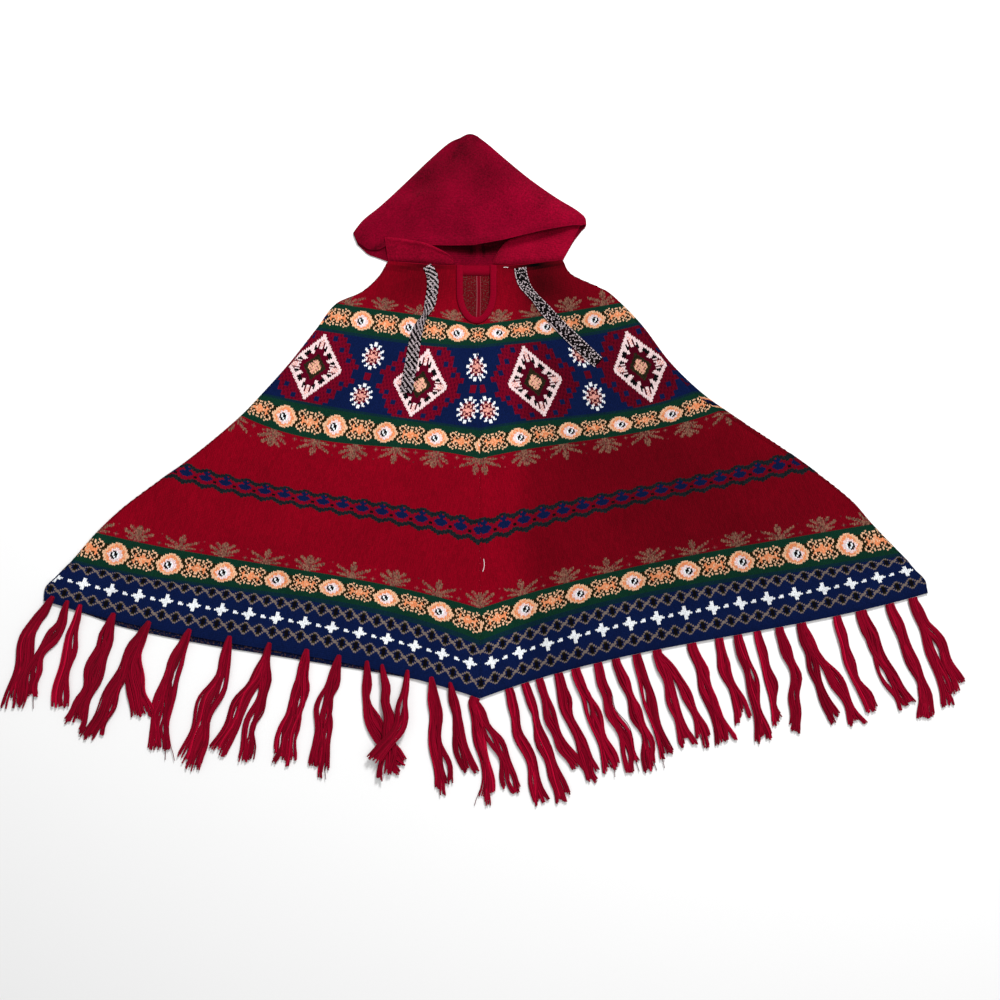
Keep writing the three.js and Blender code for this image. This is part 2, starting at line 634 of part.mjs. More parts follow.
// Tassels. Each row is one bunch of locks: the tassel it hangs from, where that is knotted on the hem (x),
// two places it passes (knee, bend) and where it ends (tip), how wide it is there, its number of locks,
// and how high it lies on others.
const BUNCHES = [
  { tassel: 1, hem: -748, knee: [-775, 128], bend: [-801, 49], tip: [-817, -21], spread: 22, locks: 4 },
  { tassel: 2, hem: -720, knee: [-733, 122], bend: [-775, 61], tip: [-786, -18], spread: 16, locks: 3 },
  { tassel: 3, hem: -697, knee: [-711, 106], bend: [-722, 52], tip: [-733, -31], spread: 14, locks: 3 },
  { tassel: 4, hem: -640, knee: [-653, 105], bend: [-678, 28], tip: [-712, -54], spread: 24, locks: 5 },
  { tassel: 5, hem: -580, knee: [-612, 80], bend: [-643, 0], tip: [-684, -77], spread: 14, locks: 3 },
  { tassel: 5, hem: -580, knee: [-598, 80], bend: [-600, 17], tip: [-580, -44], spread: 26, locks: 3 },
  { tassel: 6, hem: -509, knee: [-529, 72], bend: [-549, 0], tip: [-558, -108], spread: 26, locks: 5 },
  { tassel: 7, hem: -437, knee: [-449, 55], bend: [-474, -17], tip: [-508, -124], spread: 30, locks: 5 },
  { tassel: 8, hem: -368, knee: [-393, 35], bend: [-428, -35], tip: [-462, -105], spread: 18, locks: 3 },
  { tassel: 8, hem: -368, knee: [-376, 22], bend: [-396, -42], tip: [-409, -125], spread: 16, locks: 3 },
  { tassel: 9, hem: -303, knee: [-316, 17], bend: [-328, -44], tip: [-349, -118], spread: 28, locks: 5 },
  { tassel: 10, hem: -247, knee: [-264, 0], bend: [-278, -70], tip: [-284, -141], spread: 24, locks: 5 },
  { tassel: 11, hem: -196, knee: [-196, 2], bend: [-180, -50], tip: [-127, -128], spread: 14, locks: 3 },
  { tassel: 12, hem: -168, knee: [-160, 4], bend: [-158, -58], tip: [-164, -146], spread: 14, locks: 3, level: 1 },
  { tassel: 13, hem: -127, knee: [-132, -9], bend: [-146, -50], tip: [-196, -113], spread: 12, locks: 3, level: 2 },
  { tassel: 14, hem: -83, knee: [-77, -26], bend: [-74, -90], tip: [-56, -166], spread: 20, locks: 4 },
  { tassel: 15, hem: -50, knee: [-42, -35], bend: [-30, -86], tip: [-13, -132], spread: 14, locks: 3 },
  { tassel: 16, hem: -8, knee: [-4, -42], bend: [9, -105], tip: [14, -186], spread: 16, locks: 3 },
  { tassel: 16, hem: -8, knee: [12, -40], bend: [42, -106], tip: [62, -174], spread: 20, locks: 3 },
  { tassel: 17, hem: 50, knee: [64, -50], bend: [90, -110], tip: [108, -185], spread: 16, locks: 4 },
  { tassel: 18, hem: 78, knee: [103, -50], bend: [126, -115], tip: [148, -186], spread: 16, locks: 3 },
  { tassel: 19, hem: 103, knee: [120, -24], bend: [147, -78], tip: [176, -128], spread: 14, locks: 3 },
  { tassel: 20, hem: 136, knee: [152, -18], bend: [178, -80], tip: [204, -150], spread: 18, locks: 4 },
  { tassel: 21, hem: 166, knee: [192, -9], bend: [214, -74], tip: [234, -138], spread: 20, locks: 4 },
  { tassel: 22, hem: 205, knee: [224, -6], bend: [251, -66], tip: [272, -130], spread: 18, locks: 4 },
  { tassel: 23, hem: 236, knee: [262, 8], bend: [284, -55], tip: [300, -128], spread: 14, locks: 3 },
  { tassel: 24, hem: 272, knee: [288, 22], bend: [310, -46], tip: [330, -120], spread: 18, locks: 4 },
  { tassel: 25, hem: 308, knee: [330, 24], bend: [346, -34], tip: [364, -84], spread: 14, locks: 3 },
  { tassel: 25, hem: 308, knee: [345, 38], bend: [375, -22], tip: [398, -88], spread: 14, locks: 3 },
  { tassel: 26, hem: 368, knee: [390, 35], bend: [413, -22], tip: [430, -78], spread: 22, locks: 5 },
  { tassel: 27, hem: 416, knee: [428, 54], bend: [446, 2], tip: [462, -38], spread: 16, locks: 4 },
  { tassel: 28, hem: 448, knee: [468, 44], bend: [484, -16], tip: [496, -76], spread: 16, locks: 4 },
  { tassel: 29, hem: 482, knee: [499, 56], bend: [510, 4], tip: [521, -46], spread: 12, locks: 3 },
  { tassel: 30, hem: 520, knee: [540, 66], bend: [550, 4], tip: [545, -68], spread: 14, locks: 4 },
  { tassel: 31, hem: 558, knee: [576, 70], bend: [600, 5], tip: [620, -42], spread: 14, locks: 3 },
  { tassel: 31, hem: 558, knee: [592, 74], bend: [632, 8], tip: [660, -50], spread: 16, locks: 3 },
  { tassel: 32, hem: 620, knee: [640, 78], bend: [664, 16], tip: [690, -28], spread: 16, locks: 4 },
  { tassel: 33, hem: 662, knee: [687, 92], bend: [718, 32], tip: [748, -14], spread: 26, locks: 5 },
  { tassel: 34, hem: 712, knee: [740, 100], bend: [764, 40], tip: [780, -35], spread: 16, locks: 4 },
  { tassel: 35, hem: 752, knee: [776, 108], bend: [800, 50], tip: [818, -14], spread: 12, locks: 3 },
  { tassel: 35, hem: 752, knee: [792, 112], bend: [820, 56], tip: [838, 15], spread: 10, locks: 2 },
];
const LOCK = {
  halfWidth: 2.4, halfHeight: 1.6, tipShare: 0.5, segments: 4, floorRoom: 0.4,
  fill: 0.7, // share of a bunch's width that its locks fill
  fanning: 0.7, // how soon the locks spread
  uneven: 0.08, // how much shorter the shortest locks are
};
const LOCK_STEP = 0.02; // share of a lock over which its direction is taken
const UNEVEN_BY_TASSEL = 2.3; // these two spread the locks' lengths over the fringe
const UNEVEN_BY_LOCK = 1.9;
const HEAD = { start: 0.4, length: 15, halfWidth: 7, height: 4, lockShare: 0.75, room: 0.1 };
const LEVEL_STEP = 4.4;
const FIRST_UNDER_HEM = 16; // tassels before this one hang over the front hem, the others from under it
const OVER_BACK_HEM = 20; // a bunch on the front hem comes down to the table this far below it

// The front hem as a line of points, and the place on it with a given x.
const hemLine = [];
for (const side of [-1, 1]) {
  const line = [];
  for (let c = 0; c <= PANEL_COLUMNS; c += 1) {
    line.push(onCourse(side, c / PANEL_COLUMNS, HEM, (roll) => roll, () => 0));
  }
  hemLine.push(...(side < 0 ? line.reverse() : line.slice(1)));
}
function onHem(x) {
  const i = Math.max(1, hemLine.findIndex((p) => p.x > x));
  const [a, b] = [hemLine[i - 1], hemLine[i]];
  const along = new THREE.Vector3(b.x - a.x, b.y - a.y, 0).normalize();
  const place = new THREE.Vector3(x, lookUp(hemLine, "x", "y", x), 0);
  return { place, along, out: new THREE.Vector3(along.y, -along.x, 0) };
}

// One lock: a tapered strand of three sides. Its middle and half width come from functions of how far
// down it is, from 0 to 1.
function lock(place, halfWidth) {
  const rings = [];
  for (let k = 0; k <= LOCK.segments; k += 1) {
    const t = k / LOCK.segments;
    const p = place(t);
    const ahead = place(Math.min(1, t + LOCK_STEP)).sub(place(Math.max(0, t - LOCK_STEP)));
    const aside = new THREE.Vector3(-ahead.y, ahead.x, 0).normalize();
    const h = LOCK.halfHeight * mix(1, LOCK.tipShare, t * t);
    rings.push([
      p.clone().addScaledVector(aside, halfWidth(t)).setZ(p.z - h),
      p.clone().setZ(p.z + h),
      p.clone().addScaledVector(aside, -halfWidth(t)).setZ(p.z - h),
    ]);
  }
  return tubeFrom(rings);
}

// The knot on the hem that a tassel's locks hang from.
function tasselHead(hem, base) {
  const stations = [
    { out: HEAD.start, width: 0.6, low: 0.15, high: 0.75 },
    { out: HEAD.start + 0.35 * HEAD.length, width: 1, low: 0, high: 1 },
    { out: HEAD.start + HEAD.length, width: 0.75, low: 0.1, high: 0.85 },
  ];
  const rings = stations.map((s) => {
    const middle = hem.place.clone().addScaledVector(hem.out, s.out);
    const [low, high] = [base + s.low * HEAD.height, base + s.high * HEAD.height];
    const wide = hem.along.clone().multiplyScalar(HEAD.halfWidth * s.width);
    return [
      middle.clone().add(wide).setZ((low + high) / 2),
      middle.clone().addScaledVector(wide, 0.6).setZ(high),
      middle.clone().addScaledVector(wide, -0.6).setZ(high),
      middle.clone().sub(wide).setZ((low + high) / 2),
      middle.clone().addScaledVector(wide, -0.6).setZ(low),
      middle.clone().addScaledVector(wide, 0.6).setZ(low),
    ];
  });
  return tubeFrom(rings);
}

function tassel(number) {
  const bunches = BUNCHES.filter((b) => b.tassel === number);
  const hem = onHem(bunches[0].hem);
  const under = number >= FIRST_UNDER_HEM;
  const base = under ? LOCK.floorRoom : FRONT_LIFT + HEAD.room;
  const bodies = [tasselHead(hem, base)];
  const floor = LOCK.floorRoom + LOCK.halfHeight;
  const rootWidth = (2 * HEAD.halfWidth * HEAD.lockShare) / bunches.length;
  bunches.forEach((b, order) => {
    const z = floor + (b.level || 0) * LEVEL_STEP;
    const rootAside = ((order + 0.5) / bunches.length - 0.5) * 2 * HEAD.halfWidth * HEAD.lockShare;
    const point = (out, height) =>
      hem.place.clone().addScaledVector(hem.out, out).addScaledVector(hem.along, rootAside).setZ(height);
    const headMiddle = base + HEAD.height / 2;
    const curve = new THREE.CatmullRomCurve3([
      point(HEAD.start + 0.55 * HEAD.length, headMiddle),
      point(OVER_BACK_HEM, under ? z : headMiddle),
      new THREE.Vector3(...b.knee, z),
      new THREE.Vector3(...b.bend, z),
      new THREE.Vector3(...b.tip, z),
    ]);
    const width = (t) => mix(rootWidth, b.spread, t ** LOCK.fanning);
    for (let i = 0; i < b.locks; i += 1) {
      const share = i / (b.locks - 1) - 0.5;
      const turn = number * UNEVEN_BY_TASSEL + order + i * UNEVEN_BY_LOCK;
      const reach = 1 - LOCK.uneven * (0.5 + 0.5 * Math.sin(turn));
      const place = (t) => {
        const ahead = curve.getTangent(t * reach);
        const aside = new THREE.Vector3(-ahead.y, ahead.x, 0).normalize();
        const p = curve.getPoint(t * reach).addScaledVector(aside, share * width(t));
        return p.setZ(Math.max(floor, p.z));
      };
      const room = (t) => (LOCK.fill * width(t)) / (b.locks - 1) / 2;
      const taper = (t) => LOCK.halfWidth * mix(1, LOCK.tipShare, t ** 3);
      bodies.push(lock(place, (t) => Math.min(taper(t), room(t))));
    }
  });
  return joined(bodies);
}
const tasselCount = BUNCHES[BUNCHES.length - 1].tassel;
for (let number = 1; number <= tasselCount; number += 1) {
  addPiece(`tassel_${String(number).padStart(2, "0")}`, tassel(number), RED_YARN);
}

// The part's origin is under the middle of its box.
const middle = new THREE.Box3().setFromObject(group).getCenter(new THREE.Vector3());
group.position.set(-middle.x, -middle.y, 0);

export default group;
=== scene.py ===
# %% [markdown]
# # A hooded, fringed poncho cape, knitted and laid flat
# The real garment is four knitted panels joined by a centre seam, a hood, a rib binding round the neck
# slit, two drawstring ends and a fringe. A maker could sculpt it, run a cloth simulation or lay it out by
# numbers. Here it is laid out by numbers, because its pattern has to follow its knitted courses exactly.
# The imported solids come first, since every piece is set around them.

# %% Load the frame
import math

import bpy
import numpy as np
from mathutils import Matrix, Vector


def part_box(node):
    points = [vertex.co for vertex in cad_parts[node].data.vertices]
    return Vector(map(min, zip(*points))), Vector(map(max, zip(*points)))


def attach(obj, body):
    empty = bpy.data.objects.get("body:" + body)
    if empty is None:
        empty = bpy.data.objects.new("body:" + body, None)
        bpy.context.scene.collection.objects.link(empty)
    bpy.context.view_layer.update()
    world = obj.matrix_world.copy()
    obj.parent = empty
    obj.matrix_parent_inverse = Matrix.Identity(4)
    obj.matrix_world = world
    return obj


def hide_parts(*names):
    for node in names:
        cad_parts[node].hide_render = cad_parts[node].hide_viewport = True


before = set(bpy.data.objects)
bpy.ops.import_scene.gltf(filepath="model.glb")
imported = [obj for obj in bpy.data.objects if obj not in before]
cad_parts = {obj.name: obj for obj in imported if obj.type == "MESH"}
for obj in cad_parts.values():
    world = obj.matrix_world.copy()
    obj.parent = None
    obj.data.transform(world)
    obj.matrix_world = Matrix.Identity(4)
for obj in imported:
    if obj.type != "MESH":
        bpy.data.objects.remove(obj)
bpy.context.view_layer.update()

print("solid nodes:", len(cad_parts))

# %% [markdown]
# The camera looks straight down, as when a garment is photographed on a white table. A tilted camera would
# give the front's wedge shape away, so the view is set by three sizes: where the lens stands over the
# cloth and how wide the picture is.

# %% Camera
MM = 0.001  # metres in a millimetre
PICTURE_WIDTH = 1742.0  # millimetres of table across the picture
LENS, SENSOR = 50.0, 36.0
CAMERA_OVER = (34.8, 348.4)  # right of the centre seam, and above the point of the hem
HOOD_LEFT, CROWN = 221.0, 981.0  # from the centre seam to the hood's left corner, from the hem to its top
hood_low, hood_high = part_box("hood")
seam_at = hood_low[0] / MM + HOOD_LEFT
hem_at = hood_high[1] / MM - CROWN

camera_data = bpy.data.cameras.new("camera")
camera_data.lens = LENS
camera_data.sensor_width = SENSOR
camera = bpy.data.objects.new("camera", camera_data)
camera.location = (
    (seam_at + CAMERA_OVER[0]) * MM,
    (hem_at + CAMERA_OVER[1]) * MM,
    PICTURE_WIDTH * MM * LENS / SENSOR,
)
bpy.context.scene.collection.objects.link(camera)
bpy.context.scene.camera = camera
bpy.context.scene.view_settings.view_transform = "Standard"
print("camera height:", round(camera.location.z, 3), "m")

# %% [markdown]
# Every place below is in millimetres on the laid garment: x from the centre front seam, y from the point of
# the hem, z up from the table. A curve could be drawn by hand for each edge, but a garment is measured at a
# few levels and the edge runs smoothly between them, so one function does the same with a short table. It
# never bulges past two neighbouring values.

# %% Helpers for places and curves
def smooth(levels, values, at):
    """Values between the rows of a table, along a curve that never bulges past two neighbours."""
    levels, values, at = (np.asarray(v, float) for v in (levels, values, at))
    gaps = np.diff(levels)
    slopes = np.diff(values) / gaps
    inner = np.where(slopes[:-1] * slopes[1:] > 0, (slopes[:-1] + slopes[1:]) / 2, 0)
    steepest = 3 * np.minimum(np.abs(slopes[:-1]), np.abs(slopes[1:]))
    inner = np.clip(inner, -steepest, steepest)
    tangents = np.concatenate([slopes[:1], inner, slopes[-1:]])
    i = np.clip(np.searchsorted(levels, at, side="right") - 1, 0, len(levels) - 2)
    t = np.clip((at - levels[i]) / gaps[i], 0, 1)
    rise = t * t * (3 - 2 * t)
    bend = gaps[i] * (tangents[i] * t * (1 - t) ** 2 - tangents[i + 1] * t * t * (1 - t))
    return values[i] * (1 - rise) + values[i + 1] * rise + bend


def mix(a, b, t):
    return a + (b - a) * t


def table(columns, rows):
    """Named columns of numbers from a short table."""
    return {name: np.array([row[i] for row in rows], float) for i, name in enumerate(columns)}


def add_object(name, data):
    made = bpy.data.objects.new(name, data)
    bpy.context.scene.collection.objects.link(made)
    return made


EDGE_ANGLE = 48  # degrees between two faces that meet in a crisp edge


def make_piece(name, points, faces, materials, uv=None, colours=None, material_of=None):
    """A mesh object from places in millimetres, with its stitch map and the colour of each face's yarn."""
    mesh = bpy.data.meshes.new(name)
    places = (np.asarray(points, float) + (seam_at, hem_at, 0)) * MM
    mesh.from_pydata(places.tolist(), [], faces)
    corner_points = np.empty(len(mesh.loops), np.int32)
    mesh.loops.foreach_get("vertex_index", corner_points)
    if uv is not None:
        stitch_map = mesh.uv_layers.new(name="stitches")
        stitch_map.uv.foreach_set("vector", np.asarray(uv, np.float32)[corner_points].ravel())
    if colours is not None:
        sides = np.empty(len(mesh.polygons), np.int32)
        mesh.polygons.foreach_get("loop_total", sides)
        dyed = np.ones((len(corner_points), 4), np.float32)
        dyed[:, :3] = np.repeat(colours, sides, axis=0)
        yarn = mesh.color_attributes.new("yarn", "FLOAT_COLOR", "CORNER")
        yarn.data.foreach_set("color", dyed.ravel())
    for material in materials:
        mesh.materials.append(material)
    if material_of is not None:
        mesh.polygons.foreach_set("material_index", np.asarray(material_of, np.int32))
    mesh.polygons.foreach_set("use_smooth", [True] * len(mesh.polygons))
    mesh.set_sharp_from_angle(angle=math.radians(EDGE_ANGLE))
    print(name, "faces:", len(mesh.polygons))
    return add_object(name, mesh)


def dress(piece, nodes):
    """The piece stands for its solids and rides with the garment."""
    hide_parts(*nodes)
    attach(piece, "root")


# %% [markdown]
# Yarn has three looks that many of the pieces share: the V of each stitch, the uneven dye, and loose fibres.
# Each could be painted, but then it would blur close up. A node group for each keeps it sharp, and every
# material gives it its own values. The stitches are read from the stitch map, where one unit is one stitch.

# %% Node helpers
class Nodes:
    """Adds nodes to a tree, one call a node, and links what is passed to their sockets."""

    def __init__(self, tree):
        self.tree = tree
        tree.nodes.clear()

    def add(self, kind, links=None, **settings):
        made = self.tree.nodes.new("ShaderNode" + kind)
        for key, value in settings.items():
            setattr(made, key, value)
        for key, value in (links or {}).items():
            if isinstance(value, bpy.types.NodeSocket):
                self.tree.links.new(value, made.inputs[key])
            else:
                made.inputs[key].default_value = value
        return made

    def math(self, operation, *values):
        return self.add("Math", dict(enumerate(values)), operation=operation).outputs[0]

    def group(self, tree, **links):
        made = self.tree.nodes.new("ShaderNodeGroup")
        made.node_tree = tree
        for key, value in links.items():
            socket = made.inputs[key.replace("_", " ")]
            if isinstance(value, bpy.types.NodeSocket):
                self.tree.links.new(value, socket)
            else:
                socket.default_value = value
        return made.outputs


def new_group(name, inputs, outputs):
    """A shader node group with named sockets: its node maker, its inputs and its outputs."""
    tree = bpy.data.node_groups.new(name, "ShaderNodeTree")
    for label, kind, value in inputs:
        socket = tree.interface.new_socket(label, in_out="INPUT", socket_type="NodeSocket" + kind)
        if value is not None:
            socket.default_value = value
    for label, kind in outputs:
        tree.interface.new_socket(label, in_out="OUTPUT", socket_type="NodeSocket" + kind)
    nodes = Nodes(tree)
    entry = tree.nodes.new("NodeGroupInput").outputs
    leave = tree.nodes.new("NodeGroupOutput").inputs
    return nodes, entry, leave


# %% [markdown]
# A knit stitch is a V of two plump legs. Across each leg and along it the yarn is highest in the middle, and
# where two legs meet there is a dark gap. Two parabolas give both, and a slant tips the legs into a V.

# %% The knit stitch group
nodes, entry, leave = new_group(
    "knit stitches",
    [("Map", "Vector", None), ("Slant", "Float", 0.4)],
    [("Height", "Float"), ("Gap", "Float")],
)
split = nodes.add("SeparateXYZ", {0: entry["Map"]}).outputs
half_way = nodes.math("PINGPONG", split["X"], 0.5)
slanted = nodes.math("MULTIPLY_ADD", half_way, entry["Slant"], split["Y"])
leg = nodes.math("FRACT", nodes.math("MULTIPLY", split["X"], 2.0))
hollow_across = nodes.math("POWER", nodes.math("MULTIPLY_ADD", leg, 2.0, -1.0), 2.0)
loop = nodes.math("FRACT", slanted)
hollow_along = nodes.math("POWER", nodes.math("MULTIPLY_ADD", loop, 2.0, -1.0), 4.0)
hollow = nodes.math("MAXIMUM", hollow_across, hollow_along)
nodes.tree.links.new(nodes.math("SUBTRACT", 1.0, hollow), leave["Height"])
nodes.tree.links.new(nodes.math("POWER", hollow, 2.0), leave["Gap"])
knit_stitches = nodes.tree
print("group:", knit_stitches.name)

# %% [markdown]
# Dyed acrylic is never one flat colour: whole areas are a little lighter where the cloth is rubbed, and each
# short length of yarn differs. Two noises, one of a hand's width and one of a stitch, change the value.

# %% The uneven dye group
nodes, entry, leave = new_group(
    "uneven dye",
    [("Colour", "Color", (0.5, 0.5, 0.5, 1)), ("Spread", "Float", 0.2)],
    [("Colour", "Color")],
)
place = nodes.add("TexCoord").outputs["Object"]
PATCHES, FLECKS = 14.0, 360.0  # noises per metre: a hand's width, and a stitch
patches = nodes.add("TexNoise", {"Vector": place, "Scale": PATCHES, "Detail": 3.0}).outputs["Fac"]
flecks = nodes.add("TexNoise", {"Vector": place, "Scale": FLECKS, "Detail": 2.0}).outputs["Fac"]
both = nodes.math("ADD", patches, flecks)
centred = nodes.math("SUBTRACT", both, 1.0)
value = nodes.math("MULTIPLY_ADD", centred, entry["Spread"], 1.0)
dyed = nodes.add("HueSaturation", {"Color": entry["Colour"], "Value": value})
nodes.tree.links.new(dyed.outputs["Color"], leave["Colour"])
uneven_dye = nodes.tree
print("group:", uneven_dye.name)

# %% [markdown]
# Loose fibres stand off brushed yarn. Hair would be lost when the model is exported, so a fine stretched
# noise lifts the surface instead.

# %% The loose fibre group
nodes, entry, leave = new_group("loose fibres", [("Size", "Float", 1.0)], [("Height", "Float")])
place = nodes.add("TexCoord").outputs["Object"]
FIBRES = 1500.0  # per metre
scale = nodes.math("DIVIDE", FIBRES, entry["Size"])
fuzz = nodes.add("TexNoise", {"Vector": place, "Scale": scale, "Detail": 4.0, "Distortion": 1.5})
nodes.tree.links.new(fuzz.outputs["Fac"], leave["Height"])
loose_fibres = nodes.tree
print("group:", loose_fibres.name)

# %% [markdown]
# The colours are the yarns' own, written as a dyer would see them on a screen and turned into light values,
# but the hood corners' red is the hood's red painted lighter, for the light on the raised corners. Letters
# name them, because a knitting chart is written in letters.

# %% Yarn colours
def dye(red, green, blue):
    """A screen colour, from 0 to 255, as linear light."""
    parts = np.array([red, green, blue]) / 255
    return np.where(parts <= 0.04045, parts / 12.92, ((parts + 0.055) / 1.055) ** 2.4)


YARNS = {
    "r": dye(131, 0, 22),  # red ground
    "z": dye(120, 2, 30),  # red between the zigzags
    "g": dye(12, 50, 36),  # bottle green
    "d": dye(34, 30, 12),  # brown black, behind the flowers
    "o": dye(238, 144, 96),  # orange
    "p": dye(238, 186, 148),  # peach
    "w": dye(248, 252, 255),  # white
    "b": dye(10, 8, 12),  # black
    "h": dye(126, 86, 70),  # khaki
    "y": dye(122, 108, 100),  # grey khaki of the chains
    "m": dye(128, 42, 48),  # mauve
    "c": dye(112, 3, 30),  # crimson of the lattice
    "n": dye(9, 24, 66),  # navy
    "t": dye(10, 38, 50),  # teal, where green meets navy
    "u": dye(88, 0, 26),  # maroon
    "v": dye(38, 34, 20),  # olive black
    "i": dye(244, 216, 216),  # pinkish white
    "s": dye(232, 160, 146),  # salmon
    "k": dye(24, 30, 34),  # charcoal of the zigzags
}
LETTERS = "".join(YARNS)


def yarn_numbers(letters):
    return [LETTERS.index(letter) for letter in letters]


YARN_TABLE = np.array([YARNS[letter] for letter in LETTERS])
HOOD_RED = dye(117, 0, 29)
# Painted light: the hood's red, painted lighter on the corners, which stand up into the light
CORNER_LIT_RED = dye(132, 2, 33)
RIB_RED = dye(125, 0, 27)
ALLOWANCE_RED, ALLOWANCE_EDGE = dye(112, 3, 22), dye(150, 70, 80)
FRINGE_RED = dye(141, 4, 35)
print("yarns:", len(YARNS))

# %% [markdown]
# One function makes every cloth finish, because they differ only in their yarn and stitch. The colour is
# either one dye or, on the patterned panels, the colour that each stitch carries. Cloth is rough and has a
# faint sheen from its fibres.

# %% Cloth materials
ROUGHNESS, SPECULAR, SHEEN, SHEEN_ROUGHNESS = 0.92, 0.03, 0.01, 0.5


def cloth(name, colour=None, slant=0.4, depth=0.5, relief=0.35, fibres=0.5, spread=0.3):
    """A knitted finish. Relief is in millimetres, depth is how dark the gaps are, spread is of the dye."""
    material = bpy.data.materials.new(name)
    material.use_nodes = True
    nodes = Nodes(material.node_tree)
    if colour is None:
        base = nodes.add("Attribute", attribute_name="yarn").outputs["Color"]
    else:
        base = (*colour, 1)
    stitch_map = nodes.add("UVMap", uv_map="stitches").outputs[0]
    stitches = nodes.group(knit_stitches, Map=stitch_map, Slant=slant)
    dyed = nodes.group(uneven_dye, Colour=base, Spread=spread)["Colour"]
    shade = nodes.math("MULTIPLY_ADD", stitches["Gap"], -depth, 1.0)
    shaded = nodes.add("VectorMath", {0: dyed, "Scale": shade}, operation="SCALE").outputs[0]
    fuzz = nodes.group(loose_fibres, Size=1.0)["Height"]
    height = nodes.math("MULTIPLY_ADD", fuzz, fibres, stitches["Height"])
    bump = nodes.add("Bump", {"Height": height, "Strength": 1.0, "Distance": relief * MM})
    surface = nodes.add("BsdfPrincipled", {
        "Base Color": shaded,
        "Roughness": ROUGHNESS,
        "Specular IOR Level": SPECULAR,
        "Sheen Weight": SHEEN,
        "Sheen Roughness": SHEEN_ROUGHNESS,
        "Normal": bump.outputs[0],
    })
    nodes.add("OutputMaterial", {"Surface": surface.outputs[0]})
    return material


pattern_knit = cloth("pattern_knit", spread=0.4)
hood_knit = cloth("hood_knit", depth=0.45, spread=1.5)
rib_knit = cloth("rib_knit", RIB_RED, slant=0.3, depth=0.4, relief=0.3, spread=0.4)
band_knit = cloth("band_knit", slant=0.3, depth=0.4, relief=0.3, spread=0.4)
tape_knit = cloth("tape_knit", slant=0.5, depth=0.6, relief=0.4, spread=0.2)
fringe_yarn = cloth("fringe_yarn", slant=2.0, depth=0.45, relief=0.25, fibres=0.6, spread=0.35)
white_thread = cloth("white_thread", dye(246, 236, 236), slant=1.0, depth=0.2, relief=0.1)
print("materials:", len(bpy.data.materials))

# %% [markdown]
# On the wrong side of patterned knitting the yarn that isn't in use floats behind the stitches in short
# ladders. It shows in the neck slit. A brick texture on the stitch map gives the ladders, and a coarse noise
# breaks them into clumps, over each row's own ground colour.

# %% The wrong side of the knitting
FLOAT_COLOUR = (0.26, 0.13, 0.1, 1)
LADDERS, CLUMPS, CLUMPS_OVER = 0.7, 0.95, 0.57  # scales on the stitch map, and the noise that makes a clump
FLOATS_SHOW, WRONG_SIDE_DIM, FLOATS_UP = 0.55, 0.42, 0.7
wrong_side = bpy.data.materials.new("wrong_side")
wrong_side.use_nodes = True
nodes = Nodes(wrong_side.node_tree)
ground = nodes.add("Attribute", attribute_name="yarn").outputs["Color"]
stitch_map = nodes.add("UVMap", uv_map="stitches").outputs[0]
ladders = nodes.add("TexBrick", {"Vector": stitch_map, "Scale": LADDERS, "Mortar Size": 0.1}).outputs["Fac"]
clumps = nodes.add("TexNoise", {"Vector": stitch_map, "Scale": CLUMPS, "Detail": 1.0}).outputs["Fac"]
floats = nodes.math("MULTIPLY", ladders, nodes.math("GREATER_THAN", clumps, CLUMPS_OVER))
soft_floats = nodes.math("MULTIPLY", floats, FLOATS_SHOW)
yarns = nodes.add("Mix", {0: soft_floats, 6: ground, 7: FLOAT_COLOUR}, data_type="RGBA").outputs[2]
dyed = nodes.group(uneven_dye, Colour=yarns, Spread=0.5)["Colour"]
shaded = nodes.add("VectorMath", {0: dyed, "Scale": WRONG_SIDE_DIM}, operation="SCALE").outputs[0]
fuzz = nodes.group(loose_fibres, Size=1.4)["Height"]
height = nodes.math("MULTIPLY_ADD", floats, FLOATS_UP, fuzz)
bump = nodes.add("Bump", {"Height": height, "Strength": 1.0, "Distance": 0.4 * MM})
surface = nodes.add("BsdfPrincipled", {
    "Base Color": shaded,
    "Roughness": 0.95,
    "Specular IOR Level": 0.06,
    "Normal": bump.outputs[0],
})
nodes.add("OutputMaterial", {"Surface": surface.outputs[0]})
print("material:", wrong_side.name)

# %% [markdown]
# The cloth doesn't lie quite flat: soft swells run down and outward from the shoulders, and the panels
# differ. They are laid as long low hills, in the same places as in the solids. Smaller creases and
# hollows come on top.

# %% The cloth's swells and creases
WALL, SEAM_GAP = 2.0, 0.3  # the cloth's thickness, and the room left between two sewn pieces
FRONT_UNDER = 2.3  # the underside of the front stands over the table by this
SWELL_COLUMNS = ("x", "y", "length", "width", "height", "turn")
SWELLS = table(SWELL_COLUMNS, [
    (-165, 395, 210, 62, 4.5, 62),
    (-330, 255, 170, 58, 5.5, 48),
    (-560, 250, 90, 45, 4.0, 52),
    (-60, 215, 120, 48, 4.0, 84),
    (110, 330, 190, 60, 6.0, -68),
    (300, 330, 200, 66, 5.0, -50),
    (520, 280, 130, 50, 5.5, -38),
    (175, 560, 90, 42, 3.5, -55),
    (-215, 590, 80, 40, 3.0, 50),
    (-90, 670, 45, 28, 3.0, 75),
])
CREASES = table(SWELL_COLUMNS, [
    (-235, 330, 150, 15, 1.3, 56),
    (-120, 300, 130, 13, 1.1, 74),
    (-430, 235, 110, 14, 1.3, 44),
    (-250, 450, 90, 13, 0.9, 58),
    (-95, 470, 110, 12, 0.9, 80),
    (-610, 215, 70, 12, 1.0, 40),
    (45, 400, 150, 13, 1.1, -84),
    (205, 300, 150, 15, 1.4, -60),
    (185, 450, 90, 12, 0.9, -66),
    (390, 270, 120, 14, 1.3, -44),
    (600, 230, 80, 13, 1.1, -36),
    (245, 590, 55, 10, 0.8, -50),
    (-150, 690, 40, 10, 0.8, 68),
    (110, 690, 40, 10, 0.8, -58),
])


